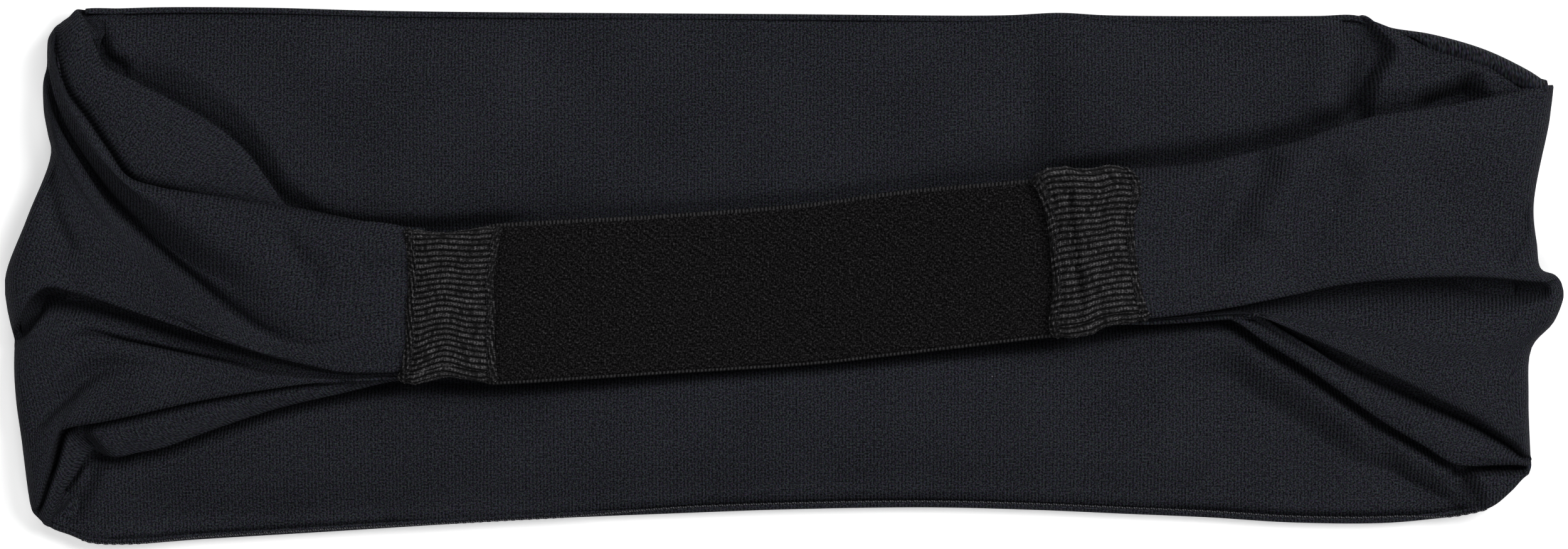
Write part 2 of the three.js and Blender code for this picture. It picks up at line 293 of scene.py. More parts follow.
class Recipe:
    """A material's node tree, with short ways to add to it."""

    def __init__(self, name):
        self.material = bpy.data.materials.new(name)
        self.material.use_nodes = True
        self.tree = self.material.node_tree
        self.shader = self.tree.nodes["Principled BSDF"]

    def node(self, kind, **settings):
        made = self.tree.nodes.new(kind)
        for key, value in settings.items():
            setattr(made, key, value)
        return made

    def feed(self, socket, value):
        if isinstance(value, bpy.types.NodeSocket):
            self.tree.links.new(value, socket)
        else:
            socket.default_value = value

    def math(self, operation, a, b=0.0):
        made = self.node("ShaderNodeMath", operation=operation)
        self.feed(made.inputs[0], a)
        self.feed(made.inputs[1], b)
        return made.outputs[0]

    def plus(self, a, b):
        return self.math("ADD", a, b)

    def times(self, a, b):
        return self.math("MULTIPLY", a, b)

    def value_of(self, name):
        """A number stored on the mesh's points."""
        return self.node("ShaderNodeAttribute", attribute_name=name).outputs["Fac"]

    def wave(self, kind, turn):
        """A sine or cosine of an angle, from 0 to 1."""
        made = self.node("ShaderNodeMath", operation="MULTIPLY_ADD")
        self.feed(made.inputs[0], self.math(kind, turn))
        made.inputs[1].default_value = 0.5
        made.inputs[2].default_value = 0.5
        return made.outputs[0]

    def cloth(self):
        """The place on the cloth in millimetres, as it was before it was folded."""
        return self.node("ShaderNodeUVMap", uv_map="cloth").outputs[0]

    def cloth_place(self):
        """The same as two numbers, along and across."""
        parts = self.node("ShaderNodeSeparateXYZ")
        self.feed(parts.inputs[0], self.cloth())
        return parts.outputs[0], parts.outputs[1]

    def noise(self, scale, detail=3.0, stretch=(1, 1, 1), where="cloth"):
        """Noise with about scale lumps to a millimetre (or to a metre on the object's own place)."""
        moved = self.node("ShaderNodeMapping")
        moved.inputs["Scale"].default_value = stretch
        source = self.cloth() if where == "cloth" else self.node("ShaderNodeTexCoord").outputs["Object"]
        self.feed(moved.inputs[0], source)
        made = self.node("ShaderNodeTexNoise")
        made.inputs["Scale"].default_value = scale
        made.inputs["Detail"].default_value = detail
        self.feed(made.inputs["Vector"], moved.outputs[0])
        return made.outputs[0]

    def ramp(self, value, stops):
        made = self.node("ShaderNodeValToRGB")
        self.feed(made.inputs[0], value)
        points = made.color_ramp.elements
        points[0].position, points[1].position = stops[0][0], stops[-1][0]
        points[0].color, points[1].color = (*stops[0][1], 1), (*stops[-1][1], 1)
        for place, colour in stops[1:-1]:
            points.new(place).color = (*colour, 1)
        return made.outputs[0]

    def mix(self, kind, factor, colour, other):
        made = self.node("ShaderNodeMix", data_type="RGBA", blend_type=kind)
        self.feed(made.inputs["Factor"], factor)
        self.feed(made.inputs[6], colour)
        self.feed(made.inputs[7], other)
        return made.outputs[2]

    def heather(self, colour, strength):
        """Yarns of slightly different colours."""
        made = self.node("ShaderNodeTexNoise")
        made.inputs["Scale"].default_value = 4.5
        self.feed(made.inputs["Vector"], self.cloth())
        return self.mix("OVERLAY", strength, colour, made.outputs["Color"])

    def lint(self, colour):
        """A few tiny bright specks of fluff."""
        spots = self.node("ShaderNodeTexVoronoi")
        spots.inputs["Scale"].default_value = 0.13
        self.feed(spots.inputs["Vector"], self.cloth())
        speck = self.math("LESS_THAN", spots.outputs["Distance"], 0.016)
        return self.mix("MIX", self.times(speck, self.noise(0.4)), colour, (0.5, 0.5, 0.55, 1))

    def bump(self, height, distance, strength=0.9, after=None):
        made = self.node("ShaderNodeBump")
        made.inputs["Strength"].default_value = strength
        made.inputs["Distance"].default_value = distance
        self.feed(made.inputs["Height"], height)
        if after is not None:
            self.feed(made.inputs["Normal"], after)
        return made.outputs[0]

    def finish(self, colour, roughness, normal, sheen, specular):
        self.feed(self.shader.inputs["Base Color"], colour)
        self.feed(self.shader.inputs["Roughness"], roughness)
        self.feed(self.shader.inputs["Normal"], normal)
        self.shader.inputs["Sheen Weight"].default_value = sheen
        self.shader.inputs["Sheen Roughness"].default_value = 0.5
        self.shader.inputs["Specular IOR Level"].default_value = specular
        return self.material


def knit_material(name, flat_wale_shade):
    """Fine jersey: narrow wales side by side, each a column of small loops, in uneven heathered yarn.
    Shade between the wales is painted into the colour, stronger where the cloth leans over a fold."""
    m = Recipe(name)
    along, across = m.cloth_place()
    wander = m.times(m.plus(m.noise(0.05, 1.0), -0.5), 0.7)
    turn = m.times(m.plus(m.math("DIVIDE", along, WALE), wander), TURN)
    slant = m.times(m.math("SINE", turn), 0.2)
    loop = m.wave("SINE", m.times(m.plus(m.math("DIVIDE", across, COURSE), slant), TURN))
    height = m.times(m.wave("COSINE", turn), m.plus(m.times(loop, 0.25), 0.75))
    # painted shade between the wales: a little on flat cloth, more where the cloth leans over a fold
    painted_wale_shade = m.math("MINIMUM", m.plus(m.times(m.value_of("lean"), 0.5), flat_wale_shade), 0.3)
    yarn = m.noise(3.8)
    tone = m.plus(m.times(yarn, 1.25), m.times(m.plus(height, -0.44), painted_wale_shade))
    tone = m.plus(tone, m.times(m.noise(1.3, 2.0), 0.2))
    tone = m.plus(tone, m.times(m.noise(0.06), 0.12))
    colour = m.ramp(tone, [
        (0.52, (0.0060, 0.0064, 0.0085)),
        (0.68, (0.0235, 0.0246, 0.0310)),
        (0.80, (0.0450, 0.0468, 0.0580)),
        (0.92, (0.0760, 0.0790, 0.0940)),
    ])
    colour = m.lint(m.heather(colour, 0.6))
    normal = m.bump(yarn, 0.0001, 0.8, after=m.bump(m.times(height, painted_wale_shade), 0.0004))
    return m.finish(colour, 0.7, normal, sheen=0.03, specular=0.1)


def elastic_material():
    """Plush-faced woven elastic: dull black pile with a slight twill slant."""
    m = Recipe("plush_elastic")
    along, across = m.cloth_place()
    slant = m.plus(m.times(along, 0.85), m.times(across, 1.25))
    twill = m.wave("SINE", m.times(slant, TURN / 1.3))
    pile = m.noise(3.4, 4.0)
    tone = m.plus(m.times(pile, 1.1), m.times(twill, 0.06))
    tone = m.plus(tone, m.times(m.plus(m.noise(0.8), -0.5), 0.12))
    colour = m.ramp(tone, [
        (0.43, (0.0045, 0.0042, 0.0045)),
        (0.57, (0.0190, 0.0180, 0.0190)),
        (0.70, (0.0480, 0.0460, 0.0480)),
        (0.83, (0.1100, 0.1070, 0.1100)),
    ])
    return m.finish(colour, 0.9, m.bump(pile, 0.0002), sheen=0.02, specular=0.06)


def selvedge_material():
    """The elastic's firm woven edge: fine even picks, a little lighter than the pile."""
    m = Recipe("elastic_selvedge")
    picks = m.wave("SINE", m.times(m.cloth_place()[0], TURN / 0.6))
    tone = m.plus(m.times(picks, 0.4), m.times(m.noise(2.2), 0.6))
    colour = m.ramp(tone, [(0.3, (0.0080, 0.0078, 0.0082)), (0.75, (0.105, 0.103, 0.107))])
    return m.finish(colour, 0.75, m.bump(picks, 0.00012, 0.7), sheen=0.02, specular=0.12)


def rib_material():
    """Coarse rib-knit tape: charcoal yarn, with a painted highlight on top of the loops and painted shade
    between them.
    """
    m = Recipe("rib_tape")
    fibres = m.noise(3.6, 4.0, (0.7, 1.8, 1))
    # painted highlight on the tops of the loops and painted shade between them, from the tape's relief
    tone = m.plus(m.times(m.value_of("relief"), 0.55), m.times(fibres, 0.9))
    tone = m.plus(tone, m.times(m.plus(m.noise(0.5), -0.5), 0.25))
    colour = m.ramp(tone, [
        (0.45, (0.0025, 0.0024, 0.0026)),
        (0.68, (0.0170, 0.0166, 0.0176)),
        (0.85, (0.0720, 0.0700, 0.0730)),
        (1.02, (0.2100, 0.2050, 0.2100)),
    ])
    return m.finish(colour, 0.6, m.bump(fibres, 0.00012), sheen=0.05, specular=0.2)


def thread_material(name, light):
    """Twisted dark polyester thread, painted dark in the grooves between its plies and light on them, as
    shade and highlight; light is the colour of that painted highlight.
    """
    m = Recipe(name)
    along, around = m.cloth_place()
    # the ply's twist, painted as shade in its grooves and highlight on its crests
    ply = m.wave("SINE", m.plus(m.times(along, TURN / 0.42), m.times(around, 5.0)))
    tone = m.plus(m.times(ply, 0.5), m.times(m.noise(6.0), 0.5))
    colour = m.ramp(tone, [(0.25, (0.0045, 0.0045, 0.0052)), (0.8, light)])
    return m.finish(colour, 0.55, m.bump(ply, 0.00007, 0.8), sheen=0.03, specular=0.25)


def table_material():
    """A white table lit from within, as for photographing goods without a shadow."""
    m = Recipe("white_table")
    m.shader.inputs["Emission Color"].default_value = (1, 1, 1, 1)
    m.shader.inputs["Emission Strength"].default_value = 0.45
    grain = m.bump(m.noise(40, 2.0, where="object"), 0.0001, 0.02)
    return m.finish((0.85, 0.85, 0.85, 1), 0.9, grain, sheen=0.0, specular=0.1)


# the two faces differ in how much shade is painted between their wales on flat cloth
KNIT_OUTER = knit_material("knit_outer_face", flat_wale_shade=0.09)
KNIT_INNER = knit_material("knit_inner_face", flat_wale_shade=0.11)
ELASTIC = elastic_material()
SELVEDGE = selvedge_material()
RIB = rib_material()
THREAD = thread_material("sewing_thread", (0.050, 0.050, 0.056))
# the seam thread's light colour is a painted highlight along the folded brow edge
SEAM_THREAD_PAINTED_HIGHLIGHT = thread_material("seam_thread", (0.21, 0.21, 0.23))


# ---- forehead panel ----

CROWN = height_of_line([
    (-119, 36.5), (-115.5, 40.6), (-112.3, 42.3), (-106, 42.5), (-99, 42.7), (-82, 42.6), (-63, 42.1),
    (0, 41.6), (35, 41.4), (44, 41.8), (52, 41.4), (85, 41.3), (91.4, 41.4), (94.5, 40.3), (97, 39.4),
    (103.4, 38.3), (111.9, 35.8), (118.9, 32.4), (121, 31),
])
BROW = height_of_line([
    (-119, -37.6), (-117.4, -40.2), (-114, -41.6), (-110.8, -42.8), (-105, -43.1), (-93.4, -42.3),
    (-75, -41.2), (-40, -39.1), (-16, -38.1), (1.2, -37.5), (23, -37.2), (40, -37.6), (54, -38.2),
    (68, -38.8), (81, -39.6), (95.7, -39.7), (104, -39), (108.5, -38.4), (112.8, -37.1), (115.9, -34.6),
    (118, -32.4), (121, -30.5),
])


def panel_ends(y):
    """Where the panel stops at the left and right: under the turned-over ends, and at the corners just
    where their outline begins."""
    left = -114.5 + 3.0 * smoothstep((y - 35) / 6) - 2.8 * smoothstep((-y - 32) / 7)
    right = 116.5 + 5.0 * smoothstep((y - 19) / 11) + 2.2 * smoothstep((-y - 22) / 8)
    return left, right


# Where the search for a point along the panel begins, before its ends are known.
PANEL_START = -112
PANEL_LENGTH = 230

# The crown and brow edges, in plan, of everything that lies on the panel.
LOAD_CROWN = height_of_line([
    (-116, 45), (-111.9, 41.2), (-109.3, 35.8), (-108, 33.1), (-104.1, 31.1), (-97.4, 27.7), (-90, 23.4),
    (-85.4, 19.3), (-81.8, 14.5), (-79, 10.9), (-70, 7.9), (-57, 7.2), (-44, 8), (-20, 9.3), (5, 11.3),
    (17, 13), (39, 15.5), (48.6, 16.8), (56, 16.9), (65, 17.5), (73, 19.2), (81, 21), (88.9, 23.8),
    (95, 25.4), (102.3, 26.4), (109.1, 27.6), (122, 30),
])
LOAD_BROW = height_of_line([
    (-117, -42), (-115, -35), (-112.8, -31.5), (-111.2, -29.1), (-108.4, -28.6), (-102.9, -28.4),
    (-98.6, -27.5), (-91.4, -24.9), (-80.8, -21.4), (-69.9, -18.8), (-61.5, -17.2), (-45, -17.3),
    (-20, -15.8), (5, -14.2), (17, -12.8), (42, -10.2), (58, -7.6), (65, -7.1), (71, -7.2), (76.5, -10.8),
    (83, -14.8), (91.8, -21), (102.1, -27.4), (106.6, -30.1), (121, -31),
])


# The left edge of the raised facet at the right crown corner: x for each y.
FACET_EDGE = height_of_line([(0, 91), (27, 91.5), (31, 92.4), (35.6, 95), (39, 92.2), (44, 88)])

# Each fold is a line in plan, a depth (negative for a ridge), its widths on the left and on the right of
# the line, and the share of its length over which each end fades.
PANEL_FOLDS = [
    # right crown corner: the valley beside the facet, a ridge, the hollow beside the wing and a crease
    ([(89.6, 41.8), (92.4, 38.8), (95, 35.6), (93.6, 33.2), (92.4, 31), (91.6, 27), (91, 21)],
     3.6, 1.2, 1.9, 0.1),
    ([(87, 42), (86.5, 34), (85, 24)], -1.3, 3.5),
    ([(99.5, 25.2), (103.5, 26.8), (107.5, 28.8), (111.5, 31.6)], 4.4, 1.9, 3.4, 0.3),
    ([(112.4, 33.8), (115.3, 31.7), (118.4, 29.4)], 2.6, 0.8, 0.5, 0.25),
    # right brow corner: a long hollow beside the wing, a slit at its end and the edge of the lobe
    ([(92, -22), (96.4, -29), (98.6, -37)], 0.9, 2.0, 3.0),
    ([(106.5, -31.2), (111, -30.9), (119, -30.7)], 3.4, 0.6, 0.5, 0.1),
    ([(107.2, -30), (108.8, -32.8), (110.4, -35), (110.8, -38)], 1.8, 0.9, 1.8),
    # the two corners at the left
    ([(-111.7, 42.4), (-110.3, 39.2), (-109, 36.4), (-107.6, 34), (-104, 32)], 2.6, 1.4),
    ([(-115.6, -40), (-111.6, -33.6), (-109.4, -29.6), (-103, -28.6)], 2.2, 1.9),
]


def end_climb(x):
    """A share from 0 to 1: how far the panel has climbed into the turned-over ends."""
    return smoothstep((np.abs(x) - 100) / 14)


def panel_height(x, y):
    """Height of the panel's upper face away from its edges: it puffs up beside the strap and wings
    that press on its middle, and has a few soft folds."""
    over_crown = y - LOAD_CROWN(x)
    under_brow = LOAD_BROW(x) - y
    edge = np.minimum(y - BROW(x), CROWN(x) - y)
    beside_left_wing = 3.8 * smoothstep((-72 - x) / 10) * smoothstep((x + 110) / 8)
    beside_right_wing = 2.2 * smoothstep((x - 50) / 10)
    slope = 3.2 + (beside_left_wing + beside_right_wing) * (y > 0)
    puff = 2.6 - 1.9 * smoothstep((46 - np.abs(x)) / 8) * (y > 0)
    beside = smoothstep((np.maximum(over_crown, under_brow) + 0.6) / slope)
    z = PANEL_TOP + puff * beside * smoothstep(edge / 11)
    # it sinks again a little further off on the brow side, and climbs towards the ends
    z = z - 3.4 * smoothstep((under_brow - 2.6) / 8) * smoothstep((x - 60) / 12) * smoothstep((114 - x) / 10)
    z = z - 1.1 * smoothstep((under_brow - 2) / 6) * smoothstep((-55 - x) / 12) * smoothstep((x + 110) / 10)
    z = z + 0.18 * np.sin(x / 17 + 1.3) * np.cos(y / 13) + 0.1 * np.sin(x / 9 + y / 11)
    z = z + 1.2 * end_climb(x)
    # the raised facet at the right crown corner, and the lobe at the right brow corner
    z = z + 2.6 * smoothstep((x - FACET_EDGE(y)) / 3.2) * smoothstep((y - 15) / 9)
    z = z + 2.3 * smoothstep((x - 107.5) / 3.5) * smoothstep((-y - 30.6) / 1.6)
    for fold in PANEL_FOLDS:
        z = z + fold_in(x, y, *fold)
    return np.maximum(z, 1.3)


def panel_plan(u, v, crown_inset, brow_inset):
    """Plan positions in the panel: u runs from 0 to 1 along it, and v from 0 at the brow edge to 1 at the
    crown edge, each moved inwards by an amount that varies with x. The ends depend on y, so x and y are
    found in turn."""
    x = PANEL_START + PANEL_LENGTH * u + 0 * v
    for _ in range(4):
        low, high = BROW(x) + brow_inset(x), CROWN(x) - crown_inset(x)
        y = low + (high - low) * v
        left, right = panel_ends(y)
        x = left + (right - left) * u
    return x, y, low, high


def crown_inset(x):
    """The outer layer's roll shows above the inner layer along the left half of the crown edge, and as
    a broad strip round the right corner."""
    left = smoothstep((x + 112) / 6) * smoothstep((-x - 18) / 25)
    return 0.12 + 0.5 * left + 1.9 * corner_strip(x)


def corner_strip(x):
    """Where that broad strip is, from 0 to 1."""
    return smoothstep((x - 96) / 7) * smoothstep((121 - x) / 5)


def brow_inset(x):
    """At the brow edge it shows along the right half, and a little at the left."""
    right = smoothstep((x + 38) / 25) * smoothstep((107 - x) / 10)
    left = smoothstep((x + 104) / 12) * smoothstep((-x - 48) / 25)
    return 0.15 + 0.85 * right + 0.25 * left


def make_inner_panel():
    """The inner layer: the face that touches the forehead, seen here from above."""
    u = np.linspace(0, 1, 560)[:, None]
    v = (1 - np.cos(np.linspace(0, math.pi, 190))) / 2  # finer towards the two edges
    x, y, low, high = panel_plan(u, v[None], crown_inset, brow_inset)
    edge = np.minimum(y - low, high - y)
    z = panel_height(x, y) - 0.75 * np.exp(-edge / 0.7) + 0.25 * np.exp(-(((edge - 1.6) / 1.1) ** 2))
    sheet = thick_sheet("front_inner_sheet", np.stack([x, y, z], 2), np.stack([x, y], 2),
                        INNER_CLOTH, KNIT_INNER)
    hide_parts("front_inner_layer")
    return sheet


def edge_rise(x, y):
    """How far the panel's long edges climb towards the turned-over ends."""
    crown = 2.6 * smoothstep((x - 93.5) / 9) * smoothstep(y / 9)
    brow = 1.8 * smoothstep((x - 107) / 8) * smoothstep(-y / 9)
    return end_climb(x) + crown + brow


# Across a rolled long edge of the outer layer, from its top to the table: how far inwards, and how high.
ROLLED_EDGE = [(0.95, 2.0), (0.55, 2.05), (0.2, 1.8), (0.0, 1.3), (0.04, 0.75), (0.35, 0.25), (1.1, 0.02)]

# What the right crown corner adds to the first three of them: further inwards, and higher.
CORNER_STRIP_ROLL = [(2.9, -0.9), (1.5, 0.6), (0.5, 0.6)]


def make_outer_panel():
    """The outer layer: flat on the table, its two long edges rolled up round the inner layer."""
    columns = 300
    u = np.linspace(0, 1, columns)

    def line(v, inset, z):
        """One lengthwise line: v runs from 0 at the brow edge to 1 at the crown edge."""
        x, y, _, _ = panel_plan(u, v, lambda x: inset, lambda x: inset)
        return np.stack([x, y, z + 0.5 * edge_rise(x, y) * z], 1)

    lines = [line(1, inset, z) for inset, z in ROLLED_EDGE]
    broad = corner_strip(PANEL_START + PANEL_LENGTH * u)
    for rolled, (reach, rise) in zip(lines, CORNER_STRIP_ROLL):
        rolled[:, 1] -= broad * reach
        rolled[:, 2] += broad * rise
    lines += [line(v, 0, 0.0) for v in np.linspace(0.95, 0.05, 10)]
    lines += [line(0, inset, z) for inset, z in ROLLED_EDGE[::-1]]
    outside = smooth_through(np.stack(lines, 1), [3] * (len(lines) - 1))
    across = np.broadcast_to(lengths_along(outside[columns // 2]), outside.shape[:2])
    inwards = normals_of(outside)
    if inwards[columns // 2, outside.shape[1] // 2, 2] < 0:
        inwards = -inwards
    inside = outside + inwards * OUTER_CLOTH
    cloth_uv = np.stack([outside[..., 0], across], 2)
    sheet = closed_sheet("front_outer_sheet", outside, inside, cloth_uv, KNIT_OUTER)
    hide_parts("front_outer_layer")
    return sheet


SEAM_STITCH = 1.3  # length of one stitch in mm
SEAM_END = 112


def make_seam():
    """The lengthwise seam's thread, in the groove beside the brow edge: small slanting stitches. Its light
    colour is a painted highlight along the folded brow edge.
    """
    x = np.linspace(-SEAM_END, SEAM_END, 1400)
    y = BROW(x) + brow_inset(x) + 0.05 * np.sin(x * TURN / SEAM_STITCH)
    z = PANEL_TOP + 0.15 + 0.06 * np.cos(x * TURN / SEAM_STITCH * 2)
    line = np.stack([x, y, z + edge_rise(x, y)], 1)
    seam = tube_along("long_seam", line, 0.14, 6, SEAM_THREAD_PAINTED_HIGHLIGHT)
    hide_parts("long_seam_thread")
    return seam


# ---- wings ----

